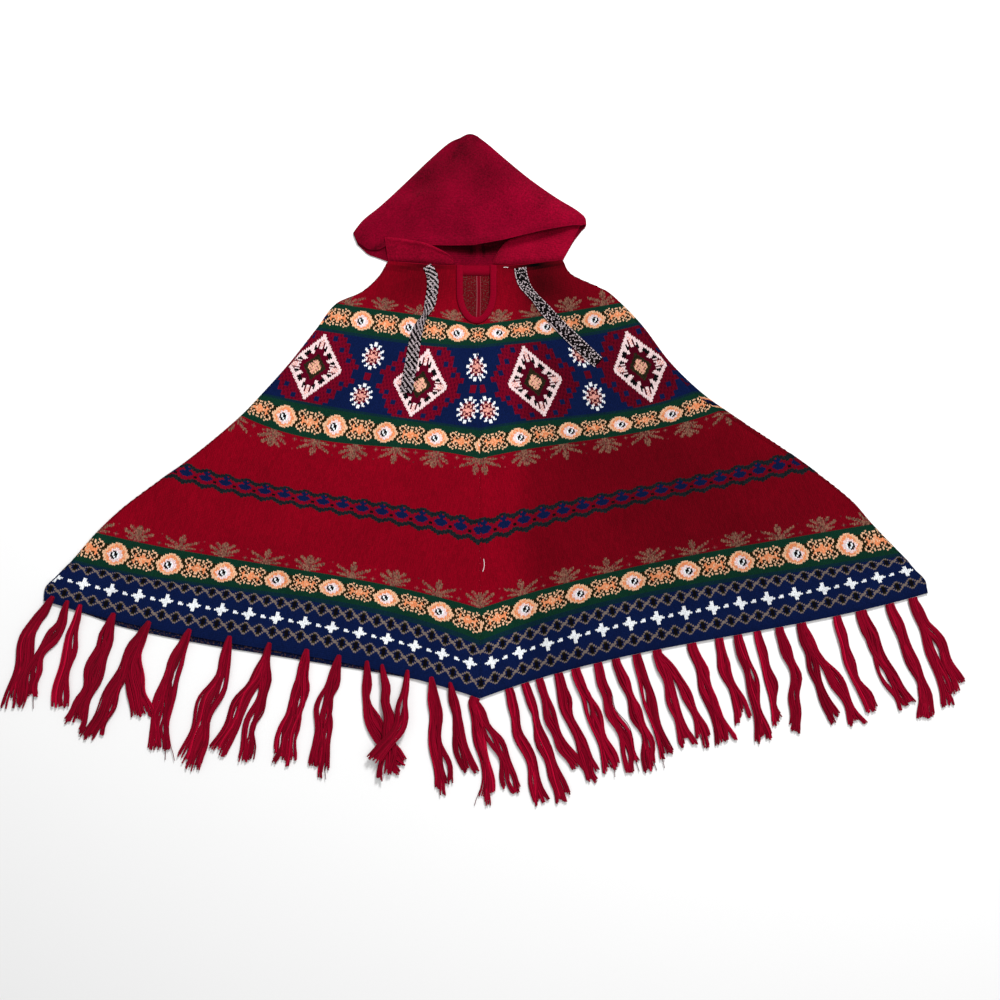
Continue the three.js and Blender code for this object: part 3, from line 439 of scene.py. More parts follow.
def hills(rows, x, y):
    """Height that a table of long low hills adds at each place."""
    total = np.zeros(np.broadcast(x, y).shape)
    for i in range(len(rows["x"])):
        turn = math.radians(rows["turn"][i])
        east, north = x - rows["x"][i], y - rows["y"][i]
        along = east * math.cos(turn) + north * math.sin(turn)
        aside = north * math.cos(turn) - east * math.sin(turn)
        away = (along / rows["length"][i]) ** 2 + (aside / rows["width"][i]) ** 2
        total += rows["height"][i] * np.exp(-away)
    return total


def front_under(x, y):
    return FRONT_UNDER + hills(SWELLS, x, y)


def front_top(x, y):
    return front_under(x, y) + WALL + hills(CREASES, x, y)


print("swells and creases:", len(SWELLS["x"]) + len(CREASES["x"]))

# %% [markdown]
# The smaller pieces of cloth are shells: two grids of places, one for each face, closed round the edge. A
# plane with a solidify modifier would do too, but here the two faces may differ. Rolled edges and threads
# are closed rings of places instead, one after the other.

# %% Shells and rings
def shell(upper, under):
    """Points and faces of a closed wall between two grids of places, facing outwards."""
    rows, columns = upper.shape[:2]
    count = rows * columns
    top = np.arange(count).reshape(rows, columns)
    low = top + count
    faces = np.stack([top[:-1, :-1], top[:-1, 1:], top[1:, 1:], top[1:, :-1]], -1).reshape(-1, 4).tolist()
    faces += np.stack([low[:-1, :-1], low[1:, :-1], low[1:, 1:], low[:-1, 1:]], -1).reshape(-1, 4).tolist()
    rim = [*top[0], *top[1:, -1], *top[-1, -2::-1], *top[-2:0:-1, 0]]
    for here, there in zip(rim, rim[1:] + rim[:1]):
        faces.append([there, here, here + count, there + count])
    points = np.concatenate([upper.reshape(-1, 3), under.reshape(-1, 3)])
    p, q, r = points[top[0, 0]], points[top[0, 1]], points[top[1, 0]]
    if np.cross(q - p, r - p)[2] < 0:
        faces = [face[::-1] for face in faces]
    return points, faces


def ring_faces(ids):
    """Faces between closed rings of points, one ring a row."""
    after = np.roll(ids, -1, axis=1)
    return np.stack([ids[:-1], after[:-1], after[1:], ids[1:]], -1).reshape(-1, 4).tolist()


def stitch_grid(down, across):
    """The stitch map of a net, from the stitches counted down it and across it."""
    v, u = np.meshgrid(down, across, indexing="ij")
    return np.stack([u, v], -1).reshape(-1, 2)


def shell_map(rows, columns, stitches_down, stitches_across):
    """The stitch map of a shell's two faces."""
    one = stitch_grid(np.linspace(0, stitches_down, rows), np.linspace(0, stitches_across, columns))
    return np.concatenate([one, one])


print("cloth wall:", WALL, "mm")

# %% [markdown]
# The drawstring is a flat knitted tape, black on white on one face and white on black on the other. Its two
# free ends come out of the channel and lie on the front, and the left one turns over once on its way. The
# route is the solids' own, and the chart goes on a net along it.

# %% Drawstring ends
SIDES = ("left", "right")
TIE_COLUMNS = ("x", "y", "width", "tilt")
TIES = {
    "left": table(TIE_COLUMNS, [
        (-92, 755, 15, 0),
        (-84, 741, 19, 0),
        (-82, 722, 20, 0),
        (-84, 703, 20, 0),
        (-88, 685, 18, 0.2),
        (-95, 669, 10, 0.5),
        (-103, 655, 15, 0.25),
        (-110, 638, 20, 0),
        (-115, 612, 21, 0),
        (-119, 587, 22, 0),
        (-124, 560, 22, 0),
        (-128, 535, 22, 0),
    ]),
    "right": table(TIE_COLUMNS, [
        (70, 752, 21, 0),
        (72, 739, 21, 0),
        (77, 724, 20, 0),
        (85, 712, 16, 0.15),
        (94, 702, 15, 0.2),
        (110, 683, 19, 0),
        (136, 654, 21, 0),
        (160, 630, 22, 0),
        (184, 607, 22, 0),
        (206, 587, 21, 0),
    ]),
}
TAPE_THICKNESS, TAPE_EDGE_LOSS = 1.4, 0.35
TAPE_ROOM, TAPE_STAND = 0.7, 8.0  # over the cloth, and how far a turned edge stands up
TAPE_STITCH, TAPE_WIDTH, TAPE_LANES = 1.9, 21.0, 11
TAPE_YARNS = {"w": dye(196, 180, 184), "b": dye(12, 7, 9)}
TAPE_CHARTS = {
    "left": ["wwbbbwwbbbw", "bwwbbbwwbbb", "bbwwbbbwwbb", "bbbwwbbbwwb", "wbbbwwbbbww"],
    "right": ["wbbbbwbbbbw", "wbbbwbwbbbw", "bbbwbbbwbbb", "wbbbbbbbbbw", "wbwbbbbbwbw", "wbbbbbbbbbb"],
}
TAPE_MIXED = 0.1  # share of the tape's stitches that show the other yarn
TAPE_SHADES = (0.6, 1.1)


def tie(side):
    """One drawstring end, with the line along its middle in metres and its length."""
    rows = TIES[side]
    gaps = np.hypot(np.diff(rows["x"]), np.diff(rows["y"]))
    level = np.concatenate([[0], np.cumsum(gaps)])
    steps = int(level[-1] / TAPE_STITCH)
    along = np.linspace(0, level[-1], steps + 1)
    x, y, width, tilt = (smooth(level, rows[key], along) for key in TIE_COLUMNS)
    ahead = np.stack([np.gradient(x), np.gradient(y)])
    ahead /= np.hypot(*ahead)
    edge = np.linspace(-1, 1, TAPE_LANES + 1)[None, :]
    px = x[:, None] - ahead[1][:, None] * edge * width[:, None] / 2
    py = y[:, None] + ahead[0][:, None] * edge * width[:, None] / 2
    stand = (edge + 1) / 2 * np.maximum(0, tilt)[:, None] * TAPE_STAND
    ground = np.maximum(front_top(px, py), front_top(x, y)[:, None])
    low = ground + TAPE_ROOM + stand
    plump = TAPE_THICKNESS * (1 - TAPE_EDGE_LOSS * edge**6)
    upper = np.stack([px, py, low + plump], -1)
    under = np.stack([px, py, low], -1)
    points, faces = shell(upper, under)
    chart = TAPE_CHARTS[side]
    cells = steps * TAPE_LANES
    random = np.random.default_rng(5)
    letters = [chart[(i // TAPE_LANES) % len(chart)][i % TAPE_LANES] for i in range(cells)]
    letters = letters + letters
    turned = {"w": "b", "b": "w"}
    swapped = random.random(len(letters)) < TAPE_MIXED
    letters = [turned[letter] if other else letter for letter, other in zip(letters, swapped)]
    colours = np.array([TAPE_YARNS[letter] for letter in letters])
    colours = colours * random.uniform(*TAPE_SHADES, (len(colours), 1))
    rest = len(faces) - len(colours)
    colours = np.concatenate([colours, np.tile(YARNS["b"], (rest, 1))])
    uv = shell_map(steps + 1, TAPE_LANES + 1, steps, TAPE_LANES)
    piece = make_piece(f"tie_{side}_tape", points, faces, [tape_knit], uv, colours)
    height = front_top(x, y) + TAPE_ROOM + TAPE_STAND * np.maximum(0, tilt) / 2 + TAPE_THICKNESS / 2
    path = (np.stack([x, y, height], -1) + (seam_at, hem_at, 0)) * MM
    length = float(np.linalg.norm(np.diff(path, axis=0), axis=1).sum())
    return piece, [tuple(spot) for spot in path.tolist()], length


for side in SIDES:
    piece, path, length = tie(side)
    dress(piece, [f"tie_{side}"])
    print("drawstring end", side, round(length, 3), "m")

# %% [markdown]
# The courses of the knitting run down from the side seams to the centre seam, so the bands meet in a V. Each
# row of this table is one course: its level, its height at the centre seam, then on each side its height a
# third and two thirds of the way out and at the side seam, how far out that seam is, and how far the back
# wraps round to the front there.

# %% The courses
COURSE_SIDES = ("inner", "outer", "edge", "reach", "roll")
COURSE_COLUMNS = ["centre", "seam"]
COURSE_COLUMNS += [f"{side}_{place}" for side in SIDES for place in COURSE_SIDES]
COURSES = {
    "neck seam": (757, 757, 757, 760, 764, 161, 3, 757, 761, 765, 145, 3),
    "shoulder": (711, 711, 716, 724, 733, 181, 3, 719, 729, 739, 164, 3),
    "yoke": (681, 679, 686, 697, 709, 210, 4, 688, 701, 714, 218, 4),
    "upper flower band": (654.5, 653, 667, 678, 690, 251, 4, 664, 677, 691, 246, 5),
    "diamond band": (621, 617, 622, 634, 648, 284, 5, 627, 638, 657, 279, 6),
    "middle of the diamonds": (547, 541, 549, 567, 587, 332, 5, 555, 570, 589, 331, 9),
    "middle flower band": (473, 469, 486, 505, 530, 383, 5, 487, 501, 534, 388, 14),
    "upper plain ground": (423, 420, 439, 452, 494, 418, 5, 445, 466, 503, 431, 15),
    "zigzag band": (314, 317, 346, 373, 413, 516, 5, 354, 388, 430, 541, 13),
    "lower plain ground": (270, 269, 310, 343, 385, 556, 5, 320, 360, 396, 588, 9),
    "middle of the plain ground": (214, 214, 263, 293, 338, 619, 5, 270, 313, 351, 644, 6),
    "lower flower band": (159, 160, 212, 248, 291, 669, 5, 223, 268, 306, 684, 5),
    "cross band": (105, 104, 170, 202, 244, 710, 4, 178, 220, 256, 732, 4),
    "first chain": (86, 84, 151, 191, 235, 719, 4, 159, 206, 245, 743, 4),
    "crosses": (59, 59, 124, 164, 214, 740, 4, 132, 177, 228, 757, 4),
    "second chain": (29.6, 29.6, 102, 140, 196, 757, 3, 102, 153, 209, 775, 3),
    "hem": (3, 3, 68, 112, 173, 760, 3, 78, 127, 186, 780, 3),
}
courses = table(COURSE_COLUMNS, list(COURSES.values()))
NECK = courses["centre"][0]
COURSE_DOWN = NECK - courses["centre"]


def through_four(t, a, b, c, d):
    """A curve through four heights at 0, 1/3, 2/3 and 1 of the way."""
    third, two = t - 1 / 3, t - 2 / 3
    return (
        -4.5 * a * third * two * (t - 1)
        + 13.5 * b * t * two * (t - 1)
        - 13.5 * c * t * third * (t - 1)
        + 4.5 * d * t * third * two
    )


SLIT_X, SLIT_HALF = -6.0, 35.0  # its middle and its half width
SLIT_ROUND_FROM, SLIT_FOOT = 711.0, 655.0
SEAM_STRAIGHT_BELOW = 540.0


def slit_half(y):
    """Half the slit's width at a height: straight at first, then round to its foot."""
    down = np.clip((SLIT_ROUND_FROM - y) / (SLIT_ROUND_FROM - SLIT_FOOT), 0, 1)
    return SLIT_HALF * np.sqrt(1 - down * down)


def seam_x(y):
    """Where the front's centre seam is: it bends a little aside towards the slit."""
    return SLIT_X * np.clip((y - SEAM_STRAIGHT_BELOW) / (SLIT_FOOT - SEAM_STRAIGHT_BELOW), 0, 1)


print("courses in the table:", len(COURSES))

# %% [markdown]
# A band's pattern is a knitting chart: one letter a stitch, one line a row of stitches. The flowers, leaves,
# chains and crosses are common folk motifs, so they are charted, half a motif at a time where the
# other half mirrors it.

# %% Charts of the small motifs
def mirrored(lines):
    return [line + line[::-1] for line in lines]


ROSETTE = [
    "......pppp......",
    "....ppoooopp....",
    "...ppoooooopp...",
    "..ppoooiiooopp..",
    "..pooiiiiiioop..",
    ".ppooiiwbbioopp.",
    "ppooiiwbbwbioopp",
    "ppooiiwbbwbiiopp",
    ".pooiiwbwbbioop.",
    ".ppooiiwbbioopp.",
    "..pooiiiiiioop..",
    "..ppoooiiooopp..",
    "....ppoooopp....",
    "......pppp......",
]
BUTTERFLY = mirrored([
    "...p....",
    ".pp..p.p",
    "p..p.p..",
    "p.b.p..p",
    ".pbo.p.o",
    "..oo..oo",
    ".p.ooooo",
    "...ooooo",
    "..oo..oo",
    ".pbo.p.o",
    "p.b.p..p",
    "p..p.p..",
    ".pp..p.p",
    "...p....",
])
FAN_LEAF = [
    ".........hh.........",
    "....hh..hhhh..hh....",
    "....hhh.hhhh.hhh....",
    ".....hhhhhhhhhh.....",
    ".hh...hhhhhhhh...hh.",
    ".hhhh..hhhhhh..hhhh.",
    "..hhhhh.hhhh.hhhhh..",
    "....hhhhhhhhhhhh....",
    "......hhhhhhhh......",
    "...hhhhhhhhhhhhhh...",
    ".....hhhhhhhhhh.....",
    "........hhhh........",
]
PRONGED_LEAF = [
    ".........hh.........",
    ".........hh.........",
    "........hhhh........",
    "h.......hhhh.......h",
    "hhh.....hhhh.....hhh",
    ".hhhh...hhhh...hhhh.",
    "...hhhh..hh..hhhh...",
    "....hhhh.hh.hhhh....",
    "......hhhhhhhh......",
    ".hhhhh.hhhhhh.hhhhh.",
    "...hhhhhhhhhhhhhh...",
    ".......hhhhhh.......",
]
LEAF_GAP = ["....."] * 2 + ["..m..", "....."] + ["....."] * 4 + ["..m..", ".mhm.", "..m..", "....."]
CHAIN = ["...yy...", "..yvvy..", ".y.bb.y.", "yy.bbb.y", "y.bbb.yy", ".y.bb.y.", "..yvvy..", "...yy..."]
CROSS = [
    "...ww...........",
    "...ww...........",
    "..www...........",
    "wwwwwww....ww...",
    ".wwwwwww..www...",
    "...www..........",
    "...ww...........",
    "...ww...........",
]
ZIGZAG = [
    "....kkkk....",
    "..kkkkkkkk..",
    "kkkkk.nkkkkk",
    "kkkknnnnkkkk",
    "kkk.nnnn.kkk",
    "k..zznnzz..k",
    "zzznnnnnnzzz",
    "zznnnnnnnnzz",
    "rznnnnnnnnzr",
    "bzznnnnnnzzb",
    "brzznnnnzzrb",
    "zzzzzrrzzzzz",
    "kk.zzzzzz.kk",
    "kkkk.zz.kkkk",
    "kkkkkkkkkkkk",
    ".kkkkkkkkkk.",
    "...kkkkkk...",
    ".....kk.....",
]


def filled(lines, ground):
    return [line.replace(".", ground) for line in lines]


def beside(*blocks):
    return ["".join(parts) for parts in zip(*blocks)]


def framed(block, edge, above, below):
    width = len(block[0])
    return [edge * width] * above + block + [edge * width] * below


motifs = beside(ROSETTE, BUTTERFLY)
motifs = [line.replace(".", "d" if 2 <= i < 12 else "g") for i, line in enumerate(motifs)]
FLOWERS = framed(motifs, "g", 3, 3)
LEAVES = filled(beside(FAN_LEAF, LEAF_GAP, PRONGED_LEAF, LEAF_GAP, ["."] * 12), "r")
SHORT_LEAVES = filled(beside(FAN_LEAF, ["..."] * 12, PRONGED_LEAF, ["..."] * 12), "r")
ZIGZAGS = filled(ZIGZAG, "r")
HEM_BAND = filled(framed(beside(CHAIN, CHAIN), "t", 3, 0), "n")
HEM_BAND += filled(framed(CROSS, "n", 2, 2), "n") + filled(framed(beside(CHAIN, CHAIN), "n", 0, 6), "n")
print("flower chart:", len(FLOWERS), "rows of", len(FLOWERS[0]), "stitches")

# %% [markdown]
# The large diamonds are too big to write out, but they are regular: how far a stitch is from the middle,
# counted along both axes, says which ring it is in, and its place along the ring gives the teeth. The rings
# are, from the middle, peach, olive, maroon, teeth, white, and the crimson lattice on navy.

# %% Chart of the diamond band
DIAMOND_COLUMNS, DIAMOND_ROWS = 68, 64
DIAMOND_HALF = (17.8, 28.5)  # stitches across, rows up
LATTICE_HALF = (28.0, 51.0)
LATTICE_STEP = (3, 4)
STAR_HALF, STAR_RAYS, STAR_UP = (6.6, 10.6), (8, 12), 17.0


def star_letter(across, up):
    """The yarn of one stitch of a small star, counted from its middle: dots along rays."""
    out = math.hypot(across / STAR_HALF[0], up / STAR_HALF[1])
    turn = math.atan2(up / STAR_HALF[1], across / STAR_HALF[0])
    ray, outer_ray = math.cos(STAR_RAYS[0] * turn), math.cos(STAR_RAYS[1] * turn)
    if out < 0.18:
        return "s"
    if out < 0.5:
        return "s" if ray > -0.2 else "u"
    if out < 0.7:
        return "u" if ray > 0 else "i"
    if out < 1.0:
        return "w" if outer_ray > 0.3 else "n"
    return "n"


def diamond_letter(column, row):
    """The yarn of one stitch, counted from the middle of a diamond."""
    across, up = abs(column + 0.5), abs(row + 0.5)
    share_across, share_up = across / DIAMOND_HALF[0], up / DIAMOND_HALF[1]
    ring = share_across + share_up
    tooth = abs(share_across - share_up) / ring
    between = abs(across - DIAMOND_COLUMNS / 2)
    if ring <= 0.25:
        return "p" if (column * 3 + row * 5) % 7 < 3 else "s" if (column + row) % 3 else "h"
    if ring <= 0.4:
        return "v"
    if ring <= 0.58:
        return "u"
    if ring <= 0.87:
        if tooth > 0.8:
            return "s" if 0.66 < ring and (column + row) % 2 else "i"
        if 0.2 < tooth < 0.44 or 0.62 < tooth < 0.7:
            return "i"
        return "u" if ring < 0.68 or tooth > 0.7 else "b"
    if ring <= 1.0:
        return "i"
    step_across = (across // LATTICE_STEP[0] * LATTICE_STEP[0] + 1) / LATTICE_HALF[0]
    step_up = (up // LATTICE_STEP[1] * LATTICE_STEP[1] + 1) / LATTICE_HALF[1]
    if step_across + step_up < 1:
        dotted = across % 6 < 2.6 and up % 8 < 4 and (across // 6 + up // 8) % 2 < 1
        return "n" if dotted and ring > 1.06 else "u" if (column * 3 + row) % 7 < 2 else "c"
    if between < 2.5 and up < 3.5:
        return "c"
    if between < STAR_HALF[0] and abs(up - STAR_UP) < STAR_HALF[1]:
        return star_letter(between, up - STAR_UP)
    return "n"


DIAMONDS = [
    "".join(diamond_letter(c - DIAMOND_COLUMNS // 2, r - DIAMOND_ROWS // 2) for c in range(DIAMOND_COLUMNS))
    for r in range(DIAMOND_ROWS)
]
DIAMONDS = ["t" * DIAMOND_COLUMNS] * 2 + DIAMONDS[2:-2] + ["t" * DIAMOND_COLUMNS] * 2
print("diamond chart:", len(DIAMONDS), "rows of", len(DIAMONDS[0]), "stitches")

# %% [markdown]
# Now the rows of stitches are set out from the neck to the hem. Patterned rows are one stitch high, plain
# ones are taken several at a time to keep the mesh light. Each band says where one of its motifs stands, as
# a distance from the centre seam on the left and on the right.

# %% Rows of stitches
# For each band: the levels that it runs through, its rows between them, stitches in a row, chart, whether the
# chart hangs upside down, the motif's column in the chart, and that motif's distance from the seam on the
# left and on the right.
BANDS = [
    ((757, 711, 681), (6, 4), 3, None, False, 0, 0, 0),
    ((681, 654.5), (12,), 1, SHORT_LEAVES, False, 10, 41, 40),
    ((654.5, 621), (20,), 1, FLOWERS, False, 8, 34, 35),
    ((621, 547, 473), (32, 32), 1, DIAMONDS, False, 34, 102.4, 95.8),
    ((473, 423), (20,), 1, FLOWERS, False, 8, 75.9, 67.9),
    ((423, 391), (12,), 1, LEAVES, True, 10, 80, 78.5),
    ((391, 314), (9,), 4, None, False, 0, 0, 0),
    ((314, 270), (18,), 1, ZIGZAGS, False, 6, 35.4, 10.1),
    ((270, 214, 189), (6, 3), 4, None, False, 0, 0, 0),
    ((189, 159), (12,), 1, LEAVES, False, 10, 0, 0),
    ((159, 105), (20,), 1, FLOWERS, False, 8, 69.1, 76.2),
    ((105, 86, 59, 29.6, 3), (7, 10, 10, 10), 1, HEM_BAND, False, 4, 17, 22),
]
STITCH_WIDTHS = table(("centre", "width"), [
    (3, 3.03), (59, 3.0), (132, 2.94), (292, 2.84), (408, 2.77),
    (448, 2.745), (545, 2.7), (640, 2.61), (655, 2.6),
])
LEANS = table(("centre", "lean"), [(0, 0.185), (440, 0.185), (480, 0.235), (615, 0.235), (650, 0.185)])

row_down, row_count, row_band, row_in_band = [0.0], [0.0], [], []
for number, (heights, counts, stitches, *_) in enumerate(BANDS):
    inside = 0
    for high, low, count in zip(heights, heights[1:], counts):
        for i in range(1, count + 1):
            row_down.append(NECK - mix(high, low, i / count))
            row_count.append(row_count[-1] + stitches)
            row_band.append(number)
            row_in_band.append(inside)
            inside += 1
row_down, row_count = np.array(row_down), np.array(row_count)
row_band, row_in_band = np.array(row_band), np.array(row_in_band)
row_centre = NECK - row_down
stitch_width = np.interp(row_centre, STITCH_WIDTHS["centre"], STITCH_WIDTHS["width"])
row_tilt = np.interp(row_centre, LEANS["centre"], LEANS["lean"])
row_lean = np.concatenate([[0], np.cumsum(row_tilt[1:] * np.diff(row_down) / stitch_width[1:])])
MOST_LEAN = math.ceil(row_lean[-1])
print("rows of stitches:", len(row_band), "lean at the hem:", MOST_LEAN, "stitches")

# %% [markdown]
# A panel's right side is a net of stitches: each column starts at the centre seam and leans outward, and
# columns that would pass a seam are folded into it. Two legs a stitch are drawn on the front, so that every
# colour change has the saw edge of real knitting. The wrong side is a coarser net, and the two are closed
# round their edges.

# %% How a panel's net is made
def net(begin, end, seam, legs):
    """Where the columns of stitches stand in each row, and which of them are folded into a seam."""
    columns = legs * (MOST_LEAN + int(math.ceil(end.max() / stitch_width.min())))
    column = np.arange(columns + 1) / legs - MOST_LEAN
    target = seam[:, None] + stitch_width[:, None] * (column[None, :] + row_lean[:, None])
    first = (target <= begin[:, None]).sum(1) - 1
    last = np.minimum((target < end[:, None]).sum(1), columns)
    spots = np.clip(target, begin[:, None], end[:, None])
    folded = np.clip(np.arange(columns + 1)[None, :], first[:, None], last[:, None])
    return spots, folded, first, last


# Painted shade on the front: darker on the shoulders and the right, and a thin painted shadow under each hood
# corner
FRONT_PAINTED_SHADES = table(SWELL_COLUMNS, [
    (-112, 727, 78, 44, 0.42, 20),
    (96, 728, 62, 40, 0.42, -20),
    (330, 400, 300, 130, 0.16, -48),
    (-100, 757, 70, 6, 0.45, 3),
    (88, 758, 66, 6, 0.45, 3),
])
# Painted shade over the right half of the front, rising between these two distances from the seam
RIGHT_PAINTED_SHADE, RIGHT_PAINTED_SHADE_FROM, RIGHT_PAINTED_SHADE_TO = 0.37, 45.0, 105.0
PEACH_SHARE, MAUVE_SHARE = 0.25, 0.25  # of the orange stitches and of the khaki ones
MOTTLED, PLAIN = 0.5, 0.14  # how far stitches differ in the mottled yarns and in the others
EDGE_DIM = 0.7
FRONT_LANES, BACK_LANES = 25, 19  # of the coarse wrong side


def painted_ground_shade(x, y):
    """Painted shade on the red ground, where the cloth turns away from the light: 1 is as dyed."""
    rise = np.clip((x - RIGHT_PAINTED_SHADE_FROM) / (RIGHT_PAINTED_SHADE_TO - RIGHT_PAINTED_SHADE_FROM), 0, 1)
    return 1 - RIGHT_PAINTED_SHADE * rise * rise * (3 - 2 * rise) - hills(FRONT_PAINTED_SHADES, x, y)


def stitch_colours(rows, stitch, side, x, y, wrapped):
    """The yarn of each stitch, from its band's chart, with small differences between stitches and painted
    shade.
    """
    random = np.random.default_rng(7 if side == "left" else 8)
    letters = np.full(len(rows), *yarn_numbers("r"))
    for number, band in enumerate(BANDS):
        chart, hangs, column = band[3], band[4], band[5]
        if chart is None:
            continue
        distance = band[6] if side == "left" else band[7]
        lines = chart[::-1] if hangs else chart
        grid = np.array([yarn_numbers(line) for line in lines])
        here = row_band[rows] == number
        middle = np.flatnonzero(row_band == number)[len(grid) // 2]
        start = round(distance / stitch_width[middle] - row_lean[middle]) - column
        letters[here] = grid[row_in_band[rows[here]], (stitch[here] - start) % grid.shape[1]]
    navy, orange, peach, khaki, mauve = yarn_numbers("nophm")
    letters = np.where(np.isin(letters, yarn_numbers("wis")) & wrapped, navy, letters)
    chance = random.random(len(rows))
    letters = np.where((letters == orange) & (chance < PEACH_SHARE), peach, letters)
    letters = np.where((letters == khaki) & (chance > 1 - MAUVE_SHARE), mauve, letters)
    mottled = np.isin(letters, yarn_numbers("kvhm"))
    uneven = random.uniform(-1, 1, len(rows)) * np.where(mottled, MOTTLED, PLAIN)
    reds = np.isin(letters, yarn_numbers("rzcum"))
    # Painted shade: the reds take all of the ground's painted shade, the other yarns half of it
    shade = np.where(reds, painted_ground_shade(x, y), 0.5 + 0.5 * painted_ground_shade(x, y))
    return YARN_TABLE[letters] * (shade * (1 + uneven))[:, None]


def panel_piece(name, side, begin, end, seam, legs, face_place, wrong_place, wrong_spots, up):
    """One closed panel: its net of stitches, its coarser wrong side, and the edges between them."""
    spots, folded, first, last = net(begin, end, seam, legs)
    rows, columns = spots.shape
    row_of = np.repeat(np.arange(rows), columns).reshape(rows, columns)
    inner = (folded > first[:, None]) & (folded < last[:, None])
    saw = np.where(inner & (row_of > 0) & (row_of < rows - 1), 1.0, 0.0)
    saw *= np.where(np.arange(columns) % 2 == 0, 1, -1)[None, :] if legs == 2 else 0
    face_points = face_place(row_of, spots, saw)
    ids = row_of * columns + folded
    a, b, c, d = ids[:-1, :-1], ids[:-1, 1:], ids[1:, 1:], ids[1:, :-1]
    real = (a != b) | (c != d)
    face_row, face_column = np.nonzero(real)
    faces = [
        [p, r, s] if p == q else ([p, q, r] if r == s else [p, q, r, s])
        for p, q, r, s in zip(a[real].tolist(), b[real].tolist(), c[real].tolist(), d[real].tolist())
    ]
    corner = face_points[face_row, face_column]
    wrapped = (corner[:, 2] > WALL) & (not up)
    stitch = face_column // legs - MOST_LEAN
    colours = stitch_colours(face_row, stitch, side, corner[:, 0], corner[:, 1], wrapped)
    wrong_points = wrong_place(np.arange(rows)[:, None], wrong_spots)
    lanes = wrong_spots.shape[1]
    base = rows * columns
    under = base + np.arange(rows * lanes).reshape(rows, lanes)
    wrong = np.stack([under[:-1, :-1], under[1:, :-1], under[1:, 1:], under[:-1, 1:]], -1).reshape(-1, 4)
    edges = []
    for r in range(rows - 1):
        near, far = ids[r, 0], ids[r + 1, 0]
        edges.append([near, far, under[r + 1, 0], under[r, 0]])
        near, far = ids[r, -1], ids[r + 1, -1]
        edges.append([far, near, under[r, -1], under[r + 1, -1]])
    ends = []
    for r, forward in ((0, False), (rows - 1, True)):
        line = np.arange(first[r], last[r] + 1)
        marks = np.abs(spots[r, line][None, :] - wrong_spots[r][:, None]).argmin(1)
        marks[0], marks[-1] = 0, len(line) - 1
        for j in range(lanes - 1):
            stretch = (r * columns + line[marks[j] : marks[j + 1] + 1]).tolist()
            if forward:
                ends.append(stretch + [under[r, j + 1], under[r, j]])
            else:
                ends.append(stretch[::-1] + [under[r, j], under[r, j + 1]])
    band_ground = ["r" if band[3] is None else max("rgnt", key="".join(band[3]).count) for band in BANDS]
    row_ground = np.array([YARNS["n" if band_ground[n] in "nt" else band_ground[n]] for n in row_band])
    wrong_colours = np.repeat(row_ground, lanes - 1, axis=0)
    edge_colours = np.repeat(row_ground, 2, axis=0) * EDGE_DIM
    end_colours = np.array([YARNS["r" if i < len(ends) / 2 else "b"] for i in range(len(ends))])
    points = np.concatenate([face_points.reshape(-1, 3), wrong_points.reshape(-1, 3)])
    u = (spots - seam[:, None]) / stitch_width[:, None] - row_lean[:, None]
    wrong_u = wrong_spots / stitch_width[:, None]
    uv = np.concatenate([
        np.stack([across, np.broadcast_to(row_count[:, None], across.shape)], -1).reshape(-1, 2)
        for across in (u, wrong_u)
    ])
    all_faces = faces + wrong.tolist() + edges + ends
    all_colours = np.concatenate([colours, wrong_colours, edge_colours, end_colours])
    material_of = [0] * len(faces) + [1] * len(wrong) + [0] * (len(edges) + len(ends))
    used, flat = np.unique(np.concatenate([np.array(f) for f in all_faces]), return_inverse=True)
    ends_at = np.cumsum([len(f) for f in all_faces])
    flat = flat.tolist()
    tidy = [flat[stop - len(f) : stop] for f, stop in zip(all_faces, ends_at.tolist())]
    if up == (side == "right"):
        tidy = [f[::-1] for f in tidy]
    knits = [pattern_knit, wrong_side]
    return make_piece(name, points[used], tidy, knits, uv[used], all_colours, material_of)


print("lanes of the wrong side, front and back:", FRONT_LANES, BACK_LANES)


# %% [markdown]
# The front lies on the back, so its net is lifted by the back's wall and follows the swells. Where pieces
# are sewn the cloth is pulled down into a shallow valley, which draws the centre seam and the side seams.

# %% The front panels
SAW_HEIGHT = 0.75  # half the height of the V where two colours meet
VALLEY, VALLEY_WIDTH = 0.6, 2.4
SEAM_BANK, BANK_OUT = 0.3, 5.0
SIDE_VALLEY = 0.6  # the side seam's valley, as a share of the centre seam's
HEM_DIP, HEM_DIP_WIDTH = 0.8, 4.0


def course_values(side):
    """The table of courses, read at every row of stitches."""
    values = {key: smooth(COURSE_DOWN, courses[f"{side}_{key}"], row_down) for key in COURSE_SIDES}
    values["seam"] = smooth(COURSE_DOWN, courses["seam"], row_down)
    return values


def course_height(line, row, across):
    """The height of a course at shares of the way out to the side seam."""
    return through_four(across, line["seam"][row], line["inner"][row], line["outer"][row], line["edge"][row])


def valley(distance):
    """The dip of a sewn seam with the low bank beside it."""
    dip = np.exp(-((distance / VALLEY_WIDTH) ** 2))
    bank = np.exp(-(((distance - BANK_OUT) / VALLEY_WIDTH) ** 2))
    return SEAM_BANK * bank - VALLEY * dip


